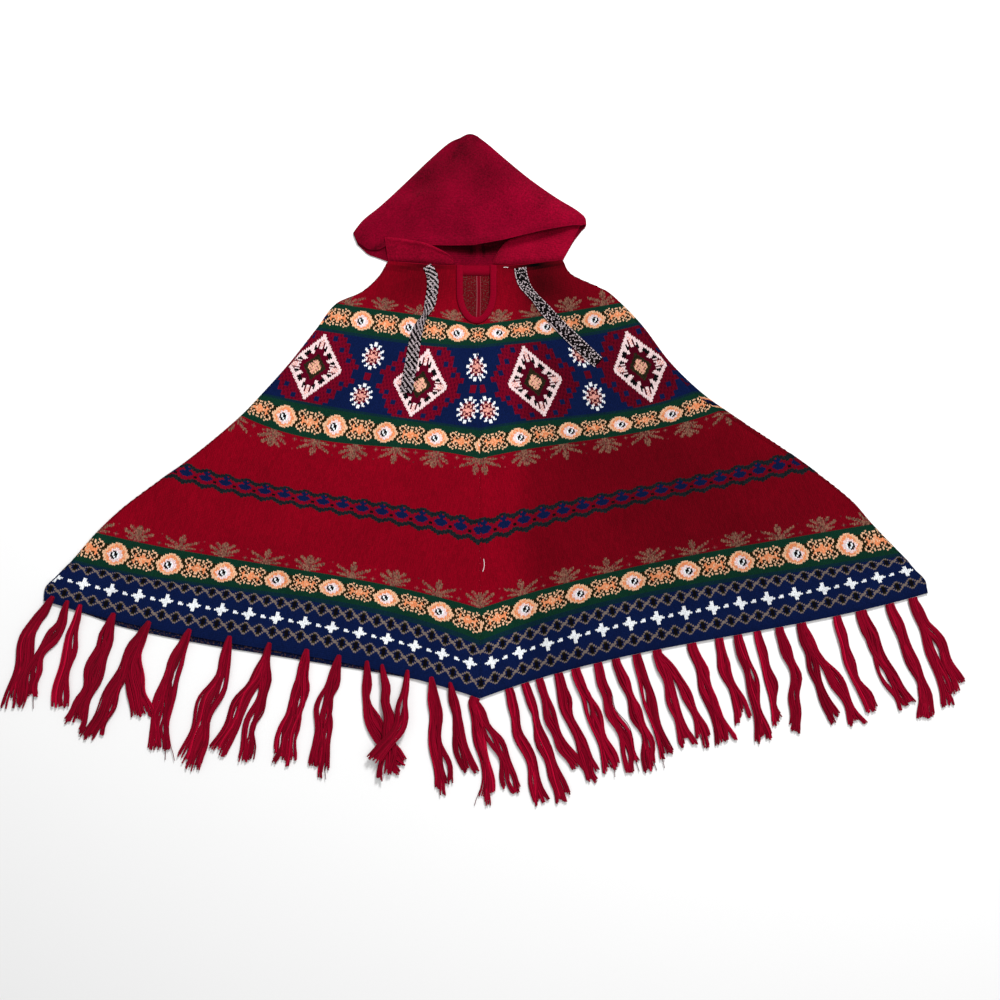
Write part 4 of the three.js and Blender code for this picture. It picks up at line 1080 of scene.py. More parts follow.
def front_panel(side):
    way = -1 if side == "left" else 1
    line = course_values(side)
    seam = way * seam_x(line["seam"])
    half = slit_half(line["seam"])
    begin = seam + np.where(half > 0, half + SEAM_GAP, SEAM_GAP / 2)
    end = line["reach"] - line["roll"] - SEAM_GAP

    def flat_place(row, spot):
        across = (spot - begin[row]) / (end[row] - begin[row])
        return way * spot, course_height(line, row, across)

    def face_place(row, spot, saw):
        x, y = flat_place(row, spot)
        y = y + SAW_HEIGHT * saw
        z = front_top(x, y) + valley(spot - begin[row]) + SIDE_VALLEY * valley(end[row] - spot)
        hem = (row_down[-1] - row_down[row]) / HEM_DIP_WIDTH
        z = z - HEM_DIP * np.exp(-hem * hem)
        return np.stack([x, y, z], -1)

    def wrong_place(row, spot):
        x, y = flat_place(row, spot)
        return np.stack([x, y, front_under(x, y)], -1)

    lanes = np.linspace(0, 1, FRONT_LANES)
    wrong_spots = mix(begin[:, None], end[:, None], lanes[None, :])
    name = f"front_{side}_knit"
    return panel_piece(name, side, begin, end, seam, 2, face_place, wrong_place, wrong_spots, True)


front_pieces = {side: front_panel(side) for side in SIDES}

# %% [markdown]
# The back lies on the table with its right side down. Its side edge wraps round the fold and shows from the
# front as a strip, and on the left its hem peeps out under the front. One distance measures it all: along
# the table, round the fold, and back over the top.

# %% The back panels
BACK_NECK_DROP = 18.0
BACK_PEEK = table(("across", "left", "right"), [
    (0, -3, -3), (0.1, -2, -3), (0.22, 4, -3), (0.34, 8, -3),
    (0.6, 10, -3), (0.82, 9, -3), (0.92, 0, -2), (1, 0, 0),
])
PEEK_SHARE = table(("centre", "share"), [(3, 1), (20, 0.5), (105, 0)])
DROP_SHARE = table(("centre", "share"), [(681, 0), (711, 0.5), (757, 1)])
FOLD_TOP = 2 * WALL + SEAM_GAP
FOLD_OUT, FOLD_OUT_INSIDE = 0.8 * WALL, 0.1
FOLD_LENGTH = 6.0  # of cloth round the fold
LEAST_STRIP = 0.4  # of cloth on top, past the fold


def back_panel(side):
    way = -1 if side == "left" else 1
    line = course_values(side)
    seam = np.zeros(len(row_down))
    begin = seam + SEAM_GAP / 2
    flat_end = line["reach"] - WALL
    strip = np.maximum(LEAST_STRIP, line["roll"] - WALL)
    end = flat_end + FOLD_LENGTH + strip
    peek_share = np.interp(row_centre, PEEK_SHARE["centre"], PEEK_SHARE["share"])
    drop_share = np.interp(row_centre, DROP_SHARE["centre"], DROP_SHARE["share"])

    def place(row, spot, inside):
        on_table = np.minimum(spot, flat_end[row])
        across = (on_table - begin[row]) / (flat_end[row] - begin[row])
        y = course_height(line, row, across)
        y = y - BACK_NECK_DROP * drop_share[row] * (1 - across * across)
        y = y - peek_share[row] * np.interp(across, BACK_PEEK["across"], BACK_PEEK[side])
        turn = np.clip((spot - flat_end[row]) / FOLD_LENGTH, 0, 1) * math.pi
        back_in = np.maximum(0, spot - flat_end[row] - FOLD_LENGTH)
        out = FOLD_OUT_INSIDE if inside else FOLD_OUT
        half = FOLD_TOP / 2 - (WALL if inside else 0)
        x = way * (on_table + out * np.sin(turn) - back_in)
        z = FOLD_TOP / 2 - half * np.cos(turn)
        return x, y, z

    def face_place(row, spot, saw):
        return np.stack(place(row, spot, False), -1)

    def wrong_place(row, spot):
        return np.stack(place(row, spot, True), -1)

    flat_lanes = mix(begin[:, None], flat_end[:, None], np.linspace(0, 1, BACK_LANES)[None, :])
    fold_lanes = flat_end[:, None] + FOLD_LENGTH * np.array([0.25, 0.5, 0.75, 1])[None, :]
    wrong_spots = np.concatenate([flat_lanes, fold_lanes, end[:, None]], 1)
    name = f"back_{side}_knit"
    return panel_piece(name, side, begin, end, seam, 1, face_place, wrong_place, wrong_spots, False)


back_pieces = {side: back_panel(side) for side in SIDES}

# %% [markdown]
# Each panel takes the place of its own plain solid, which stays in the model for its touching and weight.
# One could keep the solid and only colour it, but a solid has no rows of stitches to carry the pattern.

# %% Panels stand for their solids
for side in SIDES:
    dress(back_pieces[side], [f"back_{side}"])
    dress(front_pieces[side], [f"front_{side}"])
print("panels dressed")

# %% [markdown]
# The rib binding round the neck slit is a soft strip with fine ribs across it. It could be an extruded
# profile with a ribbed texture, but ribs catch the light at its rounded edge, so they are in the mesh.

# %% Slit binding
BINDING_WIDTH, BINDING_HEIGHT = 11.5, 4.6
RIB_PITCH, RIB_HEIGHT = 3.1, 0.3
SECTION = table(("out", "up"), [
    (0, 0), (0, 0.35), (0, 0.7), (0.1, 0.93), (0.3, 1.04), (0.5, 1.06),
    (0.7, 1.04), (0.9, 0.93), (1, 0.7), (1, 0.35), (1, 0),
])
STRAIGHT_STEPS, ROUND_STEPS = 59, 300
BINDING_STITCH, BINDING_LANES = 2.4, 5


def slit_line():
    """The slit's edge from the left neck round its foot to the right neck, with its outward direction."""
    straight = np.linspace(NECK, SLIT_ROUND_FROM, STRAIGHT_STEPS + 1)[:-1]
    ones, turn = np.ones(STRAIGHT_STEPS), np.linspace(0, math.pi, ROUND_STEPS)
    drop = SLIT_ROUND_FROM - SLIT_FOOT
    round_x, round_y = -SLIT_HALF * np.cos(turn), SLIT_ROUND_FROM - drop * np.sin(turn)
    round_nx, round_ny = -np.cos(turn) / SLIT_HALF, -np.sin(turn) / drop
    size = np.hypot(round_nx, round_ny)
    x = np.concatenate([-SLIT_HALF * ones, round_x, SLIT_HALF * ones])
    y = np.concatenate([straight, round_y, straight[::-1]])
    nx = np.concatenate([-ones, round_nx / size, ones])
    ny = np.concatenate([0 * ones, round_ny / size, 0 * ones])
    return x, y, nx, ny


def slit_binding():
    x, y, nx, ny = slit_line()
    along = np.concatenate([[0], np.cumsum(np.hypot(np.diff(x), np.diff(y)))])
    rib = RIB_HEIGHT * (np.abs(np.cos(math.pi * along / RIB_PITCH)) - 0.5)
    inward = (1 - SECTION["out"]) * BINDING_WIDTH
    px = SLIT_X + x[:, None] - nx[:, None] * inward[None, :]
    py = y[:, None] - ny[:, None] * inward[None, :]
    swelling = np.sin(math.pi * np.clip(SECTION["up"], 0, 1) / 2)
    pz = front_under(px, py) + SECTION["up"] * BINDING_HEIGHT + rib[:, None] * swelling
    rings = np.stack([px, py, pz], -1)
    count, sides = rings.shape[:2]
    ids = np.arange(count * sides).reshape(count, sides)
    faces = ring_faces(ids) + [ids[0][::-1].tolist(), ids[-1].tolist()]
    faces = [face[::-1] for face in faces]
    uv = stitch_grid(along / BINDING_STITCH, np.linspace(0, BINDING_LANES, sides))
    return make_piece("slit_binding_rib", rings.reshape(-1, 3), faces, [rib_knit], uv)


binding = slit_binding()
dress(binding, ["slit_binding"])

# %% [markdown]
# The band at the back of the neck joins the back panels to the hood. It shows in the open neck, as a paler
# strip with its own ribs.

# %% Neck band
BAND_LEFT, BAND_RIGHT, BAND_DEPTH, BAND_END_DEPTH = -150.0, 134.0, 19.3, 0.5
BAND_GAP = 0.05  # it is sewn tight to the back
BAND_PLUMP = 1.9
BAND_STEPS, BAND_LANES = 260, 13
neck_x = np.linspace(BAND_LEFT, BAND_RIGHT, BAND_STEPS)
neck_reach = np.where(neck_x < 0, courses["left_reach"][0], courses["right_reach"][0]) - WALL
neck_across = np.abs(neck_x) / neck_reach
neck_lines = [
    through_four(neck_across, NECK, *(courses[f"{side}_{key}"][0] for key in COURSE_SIDES[:3]))
    for side in SIDES
]
neck_front = np.where(neck_x < 0, *neck_lines)
band_low = neck_front - BACK_NECK_DROP * (1 - neck_across**2) + BAND_GAP
band_high = band_low + mix(BAND_DEPTH, BAND_END_DEPTH, neck_across**2)
band_up = np.linspace(0, 1, BAND_LANES)
band_y = mix(band_low[None, :], band_high[None, :], band_up[:, None])
band_x = np.broadcast_to(neck_x, band_y.shape)
band_rib = RIB_HEIGHT * (np.abs(np.cos(math.pi * neck_x / RIB_PITCH)) - 0.3)[None, :]
band_round = np.sin(math.pi * np.clip(band_up, 0.08, 0.92))[:, None]
band_z = WALL + (BAND_PLUMP + band_rib) * band_round**0.6
upper = np.stack([band_x, band_y, band_z], -1)
under = np.stack([band_x, band_y, np.zeros(band_y.shape)], -1)
points, faces = shell(upper, under)
face_x = [points[face, 0].mean() for face in faces]
face_up = np.array([points[face, 1].mean() for face in faces])
face_low = np.interp(face_x, neck_x, band_low)
face_high = np.interp(face_x, neck_x, band_high)
band_share = (face_up - face_low) / (face_high - face_low)
# Painted shade: darker along both of its seams, next to the back and under the hood
band_painted_shade = 1 - 0.55 * np.exp(-((band_share / 0.2) ** 2)) - 0.3 * np.exp(-(((1 - band_share) / 0.15) ** 2))
band_colours = band_painted_shade[:, None] * RIB_RED[None, :]
band_map = shell_map(BAND_LANES, BAND_STEPS, 8, 90)
neck_band = make_piece("neck_band_rib", points, faces, [band_knit], band_map, band_colours)
dress(neck_band, ["neck_band"])

# %% [markdown]
# The hood is one piece of cloth, folded and sewn up its back, so laid down it is a flat bag with its mouth
# towards the neck. Its front rim is lifted off the layer under it, which leaves the dark opening, made darker
# still with painted shade. Painted light and shade also lie on its outside. A net round the bag, with soft
# rounded folds at its sides, gives both layers at once.

# %% Hood
HOOD_SIDES = table(("down", "left_x", "left_y", "right_x", "right_y"), [
    (0, -33, 979, -4, 981),
    (0.12, -52, 971, 14, 968),
    (0.3, -84, 944, 45, 943),
    (0.5, -125, 905, 86, 912),
    (0.72, -172, 861, 134, 882),
    (0.88, -204, 835, 173, 861),
    (0.95, -214, 823, 184, 851),
    (1, -221, 813, 185, 841),
])
HOOD_MOUTH = table(("across", "rim", "nape", "lift"), [
    (0, 0, 0, 0),
    (0.02, 17, 20, 0),
    (0.065, 31, 38, 0.2),
    (0.11, 33, 45, 0.3),
    (0.145, 26, 51, 0.4),
    (0.24, 26, 57, 0.8),
    (0.33, 31, 60, 1.5),
    (0.42, 35, 64, 4.5),
    (0.515, 38, 67.5, 8.5),
    (0.64, 33, 71.5, 11),
    (0.8, 22, 72, 11),
    (0.9, 16.5, 71, 8),
    (0.945, 14.5, 40, 5),
    (0.98, 15, 23, 2),
    (1, 13, 15, 0.5),
])
HOOD_CREASES = table(SWELL_COLUMNS, [
    (-46, 948, 26, 13, -2.4, 78),
    (-110, 872, 62, 12, 2.0, 16),
    (-104, 892, 58, 12, -1.6, 20),
    (-22, 960, 14, 7, 1.6, 80),
    (-40, 968, 10, 5, -1.4, 60),
    (70, 866, 74, 30, 2.6, -36),
    (-168, 836, 42, 13, 2.0, 36),
    (128, 850, 50, 16, 1.8, -22),
    (12, 905, 80, 26, -2.2, -74),
    (-60, 850, 60, 20, 1.4, 4),
    (-178, 790, 20, 5, -3.0, 38),
    (-196, 800, 22, 8, 1.8, 38),
])
# Painted shade and light on the hood's outside: darker over the crown and by the left corner's pleat, lighter
# low on the right
HOOD_PAINTED_LIGHT_AND_SHADE = table(SWELL_COLUMNS, [
    (14, 925, 70, 42, 0.16, -78),
    (-178, 788, 20, 4, 0.5, 38),
    (-190, 778, 40, 10, 0.25, -30),
    (112, 848, 66, 26, -0.5, -25),
])
# Painted shade down inside the mouth, under the lifted rim, and the back seam's own paler strip with darker
# edges
MOUTH_PAINTED_SHADE_AND_SEAM = table(SWELL_COLUMNS, [
    (-30, 787, 62, 9, 0.75, -4),
    (60, 800, 60, 9, 0.75, 14),
    (140, 816, 40, 9, 0.8, 10),
    (-4, 786, 16, 5, -0.5, 90),
    (-13, 786, 16, 1.6, 0.4, 90),
    (6, 786, 16, 1.6, 0.4, 90),
])
HOOD_ROWS, HOOD_LANES, FOLD_STEPS = 70, 72, 5
# Painted shade on all the cloth down inside the mouth
INSIDE_PAINTED_SHADE = 0.8  # the cloth down inside the mouth gets less light
RIM_ROLL = 1.1  # the rim's turned hem stands up by this
RIM_LIFT = 1.35  # the soft rim's stand, as a share of the solid's
CROWN_ROUND = 5.0  # the crown's rounded tip rises by this
NAPE_LAP = 3.0  # the nape overlaps the neck band by this
HOOD_PUFF = 2.5
HOOD_STITCH, HOOD_COURSES = 2.5, 84
DARKEST, LIGHTEST = 0.15, 1.6  # limits of the soft patches


def face_painted_shade_and_tone(points, faces, colour, rows):
    """Each face's colour, darker or lighter as a table of soft patches says: painted shade and light, and a
    seam's own tone.
    """
    middles = np.array([points[face].mean(axis=0) for face in faces])
    light = np.clip(1 - hills(rows, middles[:, 0], middles[:, 1]), DARKEST, LIGHTEST)
    return light[:, None] * colour[None, :]


def hood_place(across, down, layer):
    """A place on the bag, across it and down it, on the nape's layer or the rim's."""
    sides = {key: smooth(HOOD_SIDES["down"], HOOD_SIDES[key], down) for key in HOOD_SIDES if key != "down"}
    hang = np.interp(across, HOOD_MOUTH["across"], HOOD_MOUTH[layer]) * down**1.6
    if layer == "nape":
        hang = hang + NAPE_LAP * np.clip(np.sin(math.pi * across), 0, 1) ** 0.5 * down**8
    x = mix(sides["left_x"], sides["right_x"], across)
    crown = CROWN_ROUND * np.sin(math.pi * np.clip(across, 0, 1)) * np.clip(1 - down / 0.06, 0, 1) ** 2
    return x, mix(sides["left_y"], sides["right_y"], across) + crown - hang


def hood_top(across, down):
    """How high the upper layer stands."""
    lift = RIM_LIFT * smooth(HOOD_MOUTH["across"], HOOD_MOUTH["lift"], across) * down**2
    puff = HOOD_PUFF * np.sin(math.pi * across) * np.sin(math.pi * np.minimum(1, down * 1.1))
    return 2 * WALL + 2 * SEAM_GAP + lift + np.maximum(0, puff)


def hood_skin(inside):
    """The bag's outer or inner skin: rings from the crown to the mouth, each round both layers."""
    inset = WALL if inside else 0.0
    first = 0.03 if inside else 0.0
    down = np.linspace(first, 1, HOOD_ROWS)[:, None]
    across = np.linspace(0.02, 0.98, HOOD_LANES)[None, :] + 0 * down
    down = down + 0 * across
    nape_x, nape_y = hood_place(across, down, "nape")
    rim_x, rim_y = hood_place(across, down, "rim")
    top = hood_top(across, down) - inset
    if not inside:
        top = top + hills(HOOD_CREASES, rim_x, rim_y) * np.sin(math.pi * np.clip(down, 0.02, 0.98)) ** 0.5
        top = top + RIM_ROLL * np.exp(-(((down - 0.965) / 0.03) ** 2))
    nape = np.stack([nape_x, nape_y, np.full(nape_x.shape, inset)], -1)
    rim = np.stack([rim_x, rim_y, top], -1)
    rings = []
    for r in range(HOOD_ROWS):
        ring = [*nape[r]]
        for lane, way in ((-1, 1), (0, -1)):
            edge_x, edge_y = hood_place(np.array(0.5 + 0.5 * way), down[r, 0], "nape")
            low, high = (nape[r, lane], rim[r, lane])
            tip = np.array([edge_x - way * inset, edge_y, (low[2] + high[2]) / 2])
            start, stop = (low, high) if way > 0 else (high, low)
            middle = (start + stop) / 2
            for step in range(1, FOLD_STEPS + 1):
                t = step / (FOLD_STEPS + 1)
                ring.append(mix(start, stop, t) + (tip - middle) * math.sin(math.pi * t) ** 0.7)
            if way > 0:
                ring += [*rim[r, ::-1]]
        rings.append(ring)
    return np.array(rings)


def hood_bag():
    outer, inner = hood_skin(False), hood_skin(True)
    rows, sides = outer.shape[:2]
    faces, skins, is_inside = [], [], []
    for start, turned in ((0, False), (rows * sides, True)):
        ids = start + np.arange(rows * sides).reshape(rows, sides)
        skin = ring_faces(ids) + [ids[0][::-1].tolist()]
        faces += [face[::-1] for face in skin] if turned else skin
        skins.append((ids[-1], np.roll(ids[-1], -1)))
        is_inside += [turned] * len(skin)
    (out_here, out_next), (in_here, in_next) = skins
    faces += np.stack([out_here, out_next, in_next, in_here], -1).tolist()
    points = np.concatenate([outer.reshape(-1, 3), inner.reshape(-1, 3)])
    mouth = outer[-1, :, :2]
    around = np.cumsum(np.hypot(*np.diff(mouth, axis=0, prepend=mouth[:1]).T)) / HOOD_STITCH
    uv = np.concatenate([stitch_grid(np.linspace(0, HOOD_COURSES, rows), around)] * 2)
    is_inside += [False] * (len(faces) - len(is_inside))
    # Painted shade and light on the outside; painted shade inside the mouth, with the seam's own paler strip
    outside = face_painted_shade_and_tone(points, faces, HOOD_RED, HOOD_PAINTED_LIGHT_AND_SHADE)
    inside = face_painted_shade_and_tone(points, faces, HOOD_RED * INSIDE_PAINTED_SHADE, MOUTH_PAINTED_SHADE_AND_SEAM)
    colours = np.where(np.array(is_inside)[:, None], inside, outside)
    return make_piece("hood_knit_bag", points, [f[::-1] for f in faces], [hood_knit], uv, colours)


hood = hood_bag()
dress(hood, ["hood"])

# %% [markdown]
# The hood's two front corners are sewn to the neckline. On the left the corner is folded over the rim and
# casts a small shadow, on the right it lies under the rim. Each is a shell that rises from the seam to a
# rounded channel for the drawstring.

# %% Hood corners
CORNER_COLUMNS = ("across", "x", "seam", "top", "rise")
CORNERS = {
    "left": table(CORNER_COLUMNS, [
        (0, -160, 764.6, 806, 4.2),
        (0.3, -125, 763, 801, 4.4),
        (0.55, -95, 760.5, 795, 4.8),
        (0.75, -72, 758.5, 785, 5.2),
        (0.9, -54, 758, 775, 3),
        (1, -44, 759, 765, 1.5),
    ]),
    "right": table(CORNER_COLUMNS, [
        (0, 22, 759, 764, 0.1),
        (0.15, 32, 758.2, 782, 0.6),
        (0.3, 44, 758, 797, 1.4),
        (0.6, 88, 761, 814, 1.6),
        (0.85, 128, 764, 824, 1),
        (1, 145, 766, 827, 0.3),
    ]),
}
CORNER_SLANT = {"left": -6.0, "right": 30.0}  # how much further out the sewn end stands at its top
END_SOFT, END_LOSS = 0.05, 1.7  # the share of the way over which an end thins out, and by how much
# Painted shade: a thin dark line along each corner's seam with the front
CORNER_PAINTED_SHADES = table(SWELL_COLUMNS, [
    (-100, 762, 80, 5, 0.35, 0),
    (90, 762, 80, 5, 0.35, 3),
])
CHANNEL, CHANNEL_AT, CHANNEL_WIDTH = 2.2, 0.9, 0.12  # the turned channel: its height, place and width
CORNER_DEPTH = 40.0  # from the seam to the top
SEAM_DIP, SEAM_DIP_WIDTH = 0.9, 2.5
TOP_ROUND, TOP_ROUND_WIDTH = 0.7, 1.4
MOST_LOSS = 1.8  # the wall never loses more than this
CORNER_ROWS, CORNER_LANES = 26, 90


def hood_corner(side):
    sizes = CORNERS[side]
    across = np.linspace(0, 1, CORNER_LANES)[None, :]
    up = np.linspace(0, 1, CORNER_ROWS)[:, None]
    at = {key: smooth(sizes["across"], sizes[key], across) for key in CORNER_COLUMNS[1:]}
    outer_end = (1 - across) ** 3 if side == "left" else across**3
    x = at["x"] + CORNER_SLANT[side] * outer_end * up
    y = mix(at["seam"], at["top"], up)
    z = FRONT_UNDER + at["rise"] * up**0.7 + hills(SWELLS, x, y) * (1 - up)
    channel = CHANNEL * np.exp(-(((up - CHANNEL_AT) / CHANNEL_WIDTH) ** 2))
    channel = channel * np.sin(math.pi * np.clip(across, 0.05, 0.95)) ** 0.5
    seam_dip = SEAM_DIP * np.exp(-((up * CORNER_DEPTH / SEAM_DIP_WIDTH) ** 2))
    edge_round = TOP_ROUND * np.exp(-(((1 - up) * CORNER_DEPTH / TOP_ROUND_WIDTH) ** 2))
    thinned = END_LOSS * (np.exp(-((across / END_SOFT) ** 2)) + np.exp(-(((1 - across) / END_SOFT) ** 2)))
    lost = np.minimum(MOST_LOSS, seam_dip + edge_round + thinned)
    upper = np.stack([x, y, z + WALL + channel - lost], -1)
    under = np.stack([x, y, z], -1)
    points, faces = shell(upper, under)
    # The corners' painted lighter red, with painted shade along the seam
    colours = face_painted_shade_and_tone(points, faces, CORNER_LIT_RED, CORNER_PAINTED_SHADES)
    uv = shell_map(CORNER_ROWS, CORNER_LANES, 18, 48)
    return make_piece(f"hood_corner_{side}_knit", points, faces, [hood_knit], uv, colours)


for side in SIDES:
    dress(hood_corner(side), [f"hood_corner_{side}"])

# %% [markdown]
# The fringe is bunches of loose yarn, looped through the hem. Hair would come out softer, but it can't be
# exported, so every yarn is its own thin tube. The bunches follow the solids' routes: gathered at the hem,
# then in locks that fan apart towards the tips. On the left the loops lie over the edge of the front hem, on
# the right they come from under it. A level above 0 lies over its neighbour.

# %% The bunches of the fringe
BUNCH_COLUMNS = (
    "tassel", "hem", "knee_x", "knee_y", "bend_x", "bend_y", "tip_x", "tip_y", "spread", "locks", "level",
)
BUNCHES = [
    (1, -748, -775, 128, -801, 49, -817, -21, 22, 4, 0),
    (2, -720, -733, 122, -775, 61, -786, -18, 16, 3, 0),
    (3, -697, -711, 106, -722, 52, -733, -31, 14, 3, 0),
    (4, -640, -653, 105, -678, 28, -712, -54, 24, 5, 0),
    (5, -580, -612, 80, -643, 0, -684, -77, 14, 3, 0),
    (5, -580, -598, 80, -600, 17, -580, -44, 26, 3, 0),
    (6, -509, -529, 72, -549, 0, -558, -108, 26, 5, 0),
    (7, -437, -449, 55, -474, -17, -508, -124, 30, 5, 0),
    (8, -368, -393, 35, -428, -35, -462, -105, 18, 3, 0),
    (8, -368, -376, 22, -396, -42, -409, -125, 16, 3, 0),
    (9, -303, -316, 17, -328, -44, -349, -118, 28, 5, 0),
    (10, -247, -264, 0, -278, -70, -284, -141, 24, 5, 0),
    (11, -196, -196, 2, -180, -50, -127, -128, 14, 3, 0),
    (12, -168, -160, 4, -158, -58, -164, -146, 14, 3, 1),
    (13, -127, -132, -9, -146, -50, -196, -113, 12, 3, 2),
    (14, -83, -77, -26, -74, -90, -56, -166, 20, 4, 0),
    (15, -50, -42, -35, -30, -86, -13, -132, 14, 3, 0),
    (16, -8, -4, -42, 9, -105, 14, -186, 16, 3, 0),
    (16, -8, 12, -40, 42, -106, 62, -174, 20, 3, 0),
    (17, 50, 64, -50, 90, -110, 108, -185, 16, 4, 0),
    (18, 78, 103, -50, 126, -115, 148, -186, 16, 3, 0),
    (19, 103, 120, -24, 147, -78, 176, -128, 14, 3, 0),
    (20, 136, 152, -18, 178, -80, 204, -150, 18, 4, 0),
    (21, 166, 192, -9, 214, -74, 234, -138, 20, 4, 0),
    (22, 205, 224, -6, 251, -66, 272, -130, 18, 4, 0),
    (23, 236, 262, 8, 284, -55, 300, -128, 14, 3, 0),
    (24, 272, 288, 22, 310, -46, 330, -120, 18, 4, 0),
    (25, 308, 330, 24, 346, -34, 364, -84, 14, 3, 0),
    (25, 308, 345, 38, 375, -22, 398, -88, 14, 3, 0),
    (26, 368, 390, 35, 413, -22, 430, -78, 22, 5, 0),
    (27, 416, 428, 54, 446, 2, 462, -38, 16, 4, 0),
    (28, 448, 468, 44, 484, -16, 496, -76, 16, 4, 0),
    (29, 482, 499, 56, 510, 4, 521, -46, 12, 3, 0),
    (30, 520, 540, 66, 550, 4, 545, -68, 14, 4, 0),
    (31, 558, 576, 70, 600, 5, 620, -42, 14, 3, 0),
    (31, 558, 592, 74, 632, 8, 660, -50, 16, 3, 0),
    (32, 620, 640, 78, 664, 16, 690, -28, 16, 4, 0),
    (33, 662, 687, 92, 718, 32, 748, -14, 26, 5, 0),
    (34, 712, 740, 100, 764, 40, 780, -35, 16, 4, 0),
    (35, 752, 776, 108, 800, 50, 818, -14, 12, 3, 0),
    (35, 752, 792, 112, 820, 56, 838, 15, 10, 2, 0),
]
LAST_OVER_HEM = 15  # tassels up to this one are looped over the front hem
YARN_RADIUS, YARN_SIDES, YARN_STEPS, YARNS_A_LOCK = 1.6, 5, 20, 11
LEVEL_STEP = 4.4
TABLE_ROOM = 0.4  # the lowest yarns stand over the table by this
LOCK_WIDTH = 14.0  # a lock's own width beside the spread of their middles
HEAD_WIDTH = 5.0  # between the middles of two bunches at the hem
# How wide a tassel is at shares of its way, with its loops over the hem or from under it
WIDTH_AT = (0, 0.07, 0.2, 0.45, 0.85, 1)
WIDTH_OVER = (0.12, 0.32, 0.6, 0.88, 1.0, 1.2)
WIDTH_UNDER = (0.4, 0.48, 0.58, 0.68, 0.78, 1.05)
SWAY, LOCK_SWAY, YARN_SWAY = 1.7, 2.2, 0.6  # how far a bunch, a lock and a yarn wander
STRAYS = 0.012  # share of the yarns that stray
# Painted highlight: a few yarns are painted paler where they catch the light
HIGHLIGHT_YARNS, HIGHLIGHT = 0.07, 1.7  # share of the yarns that catch the light, and how much paler they are
LOOPS = (0.8, 1.9)  # half widths of the loops over the hem
LOOP_BACK = 14.0  # how far in from the hem a loop reaches
HEM_CENTRE = courses["seam"][-1]

hem_columns = np.linspace(0, 1, 60)
hem_line = {}
for side in SIDES:
    last = {key: courses[f"{side}_{key}"][-1] for key in COURSE_SIDES}
    reach = last["reach"] - last["roll"]
    height = through_four(hem_columns, HEM_CENTRE, last["inner"], last["outer"], last["edge"])
    hem_line[side] = (reach * hem_columns, height)


def on_hem(x):
    """The place on the front hem, the direction along it and the direction away from the cloth."""
    side, way = ("left", -1) if x < 0 else ("right", 1)
    reach, height = hem_line[side]
    y = np.interp(abs(x), reach, height)
    ahead = np.interp(abs(x) + 4, reach, height) - np.interp(abs(x) - 4, reach, height)
    along = np.array([8.0, ahead * way])
    along /= np.hypot(*along)
    return np.array([x, y]), along, np.array([along[1], -along[0]])


def curve_through(points, t):
    """A smooth curve through a few places, at shares of its way."""
    points = np.asarray(points, float)
    padded = np.concatenate([2 * points[:1] - points[1:2], points, 2 * points[-1:] - points[-2:-1]])
    at = np.clip(np.asarray(t) * (len(points) - 1), 0, len(points) - 1 - 1e-9)
    i = at.astype(int)
    s = (at - i)[:, None]
    a, b, c, d = padded[i], padded[i + 1], padded[i + 2], padded[i + 3]
    return 0.5 * (2 * b + (c - a) * s + (2 * a - 5 * b + 4 * c - d) * s**2 + (3 * b - a - 3 * c + d) * s**3)


print("bunches:", len(BUNCHES), "tassels:", BUNCHES[-1][0])

# %% [markdown]
# Each yarn keeps its place in its lock, wanders a little, and ends a little sooner or later than the next.
# Its thickness is that of thick loosely plied yarn. A few loops over the hem gather the top of each tassel.

# %% Yarns of the fringe
def tube(centre, radius):
    """Rings of a thin tube round a line of places."""
    ahead = np.gradient(centre, axis=0)
    ahead /= np.linalg.norm(ahead, axis=1)[:, None]
    aside = np.cross(ahead, (0, 0, 1.0))
    size = np.linalg.norm(aside, axis=1)[:, None]
    aside = np.where(size > 1e-6, aside / np.maximum(size, 1e-6), (1.0, 0, 0))
    above = np.cross(aside, ahead)
    turn = np.linspace(0, 2 * math.pi, YARN_SIDES, endpoint=False)
    ring = np.cos(turn)[None, :, None] * aside[:, None] + np.sin(turn)[None, :, None] * above[:, None]
    return centre[:, None] + ring * np.asarray(radius).reshape(-1, 1, 1)


def yarns_piece(name, lines, radii, shades):
    """One mesh of many yarns, each with its own shade of the fringe's red, a few with a painted highlight."""
    rings = np.concatenate([tube(line, radius) for line, radius in zip(lines, radii)])
    rings = rings.reshape(len(lines), YARN_STEPS, YARN_SIDES, 3)
    ids = np.arange(rings.shape[0] * YARN_STEPS * YARN_SIDES).reshape(rings.shape[:3])
    after = np.roll(ids, -1, axis=2)
    quads = np.stack([ids[:, :-1], ids[:, 1:], after[:, 1:], after[:, :-1]], -1)
    faces = quads.reshape(-1, 4).tolist()
    faces += [ring[::-1].tolist() for ring in ids[:, 0]] + [ring.tolist() for ring in ids[:, -1]]
    faces = [face[::-1] for face in faces]
    per_yarn = (YARN_STEPS - 1) * YARN_SIDES
    shades = np.array(shades)
    colours = np.concatenate([np.repeat(shades, per_yarn), shades, shades])[:, None] * FRINGE_RED[None, :]
    u = np.broadcast_to(np.linspace(0, 2, YARN_SIDES), rings.shape[:3])
    v = np.broadcast_to(np.linspace(0, 60, YARN_STEPS)[None, :, None], rings.shape[:3])
    uv = np.stack([u, v], -1).reshape(-1, 2)
    return make_piece(name, rings.reshape(-1, 3), faces, [fringe_yarn], uv, colours)


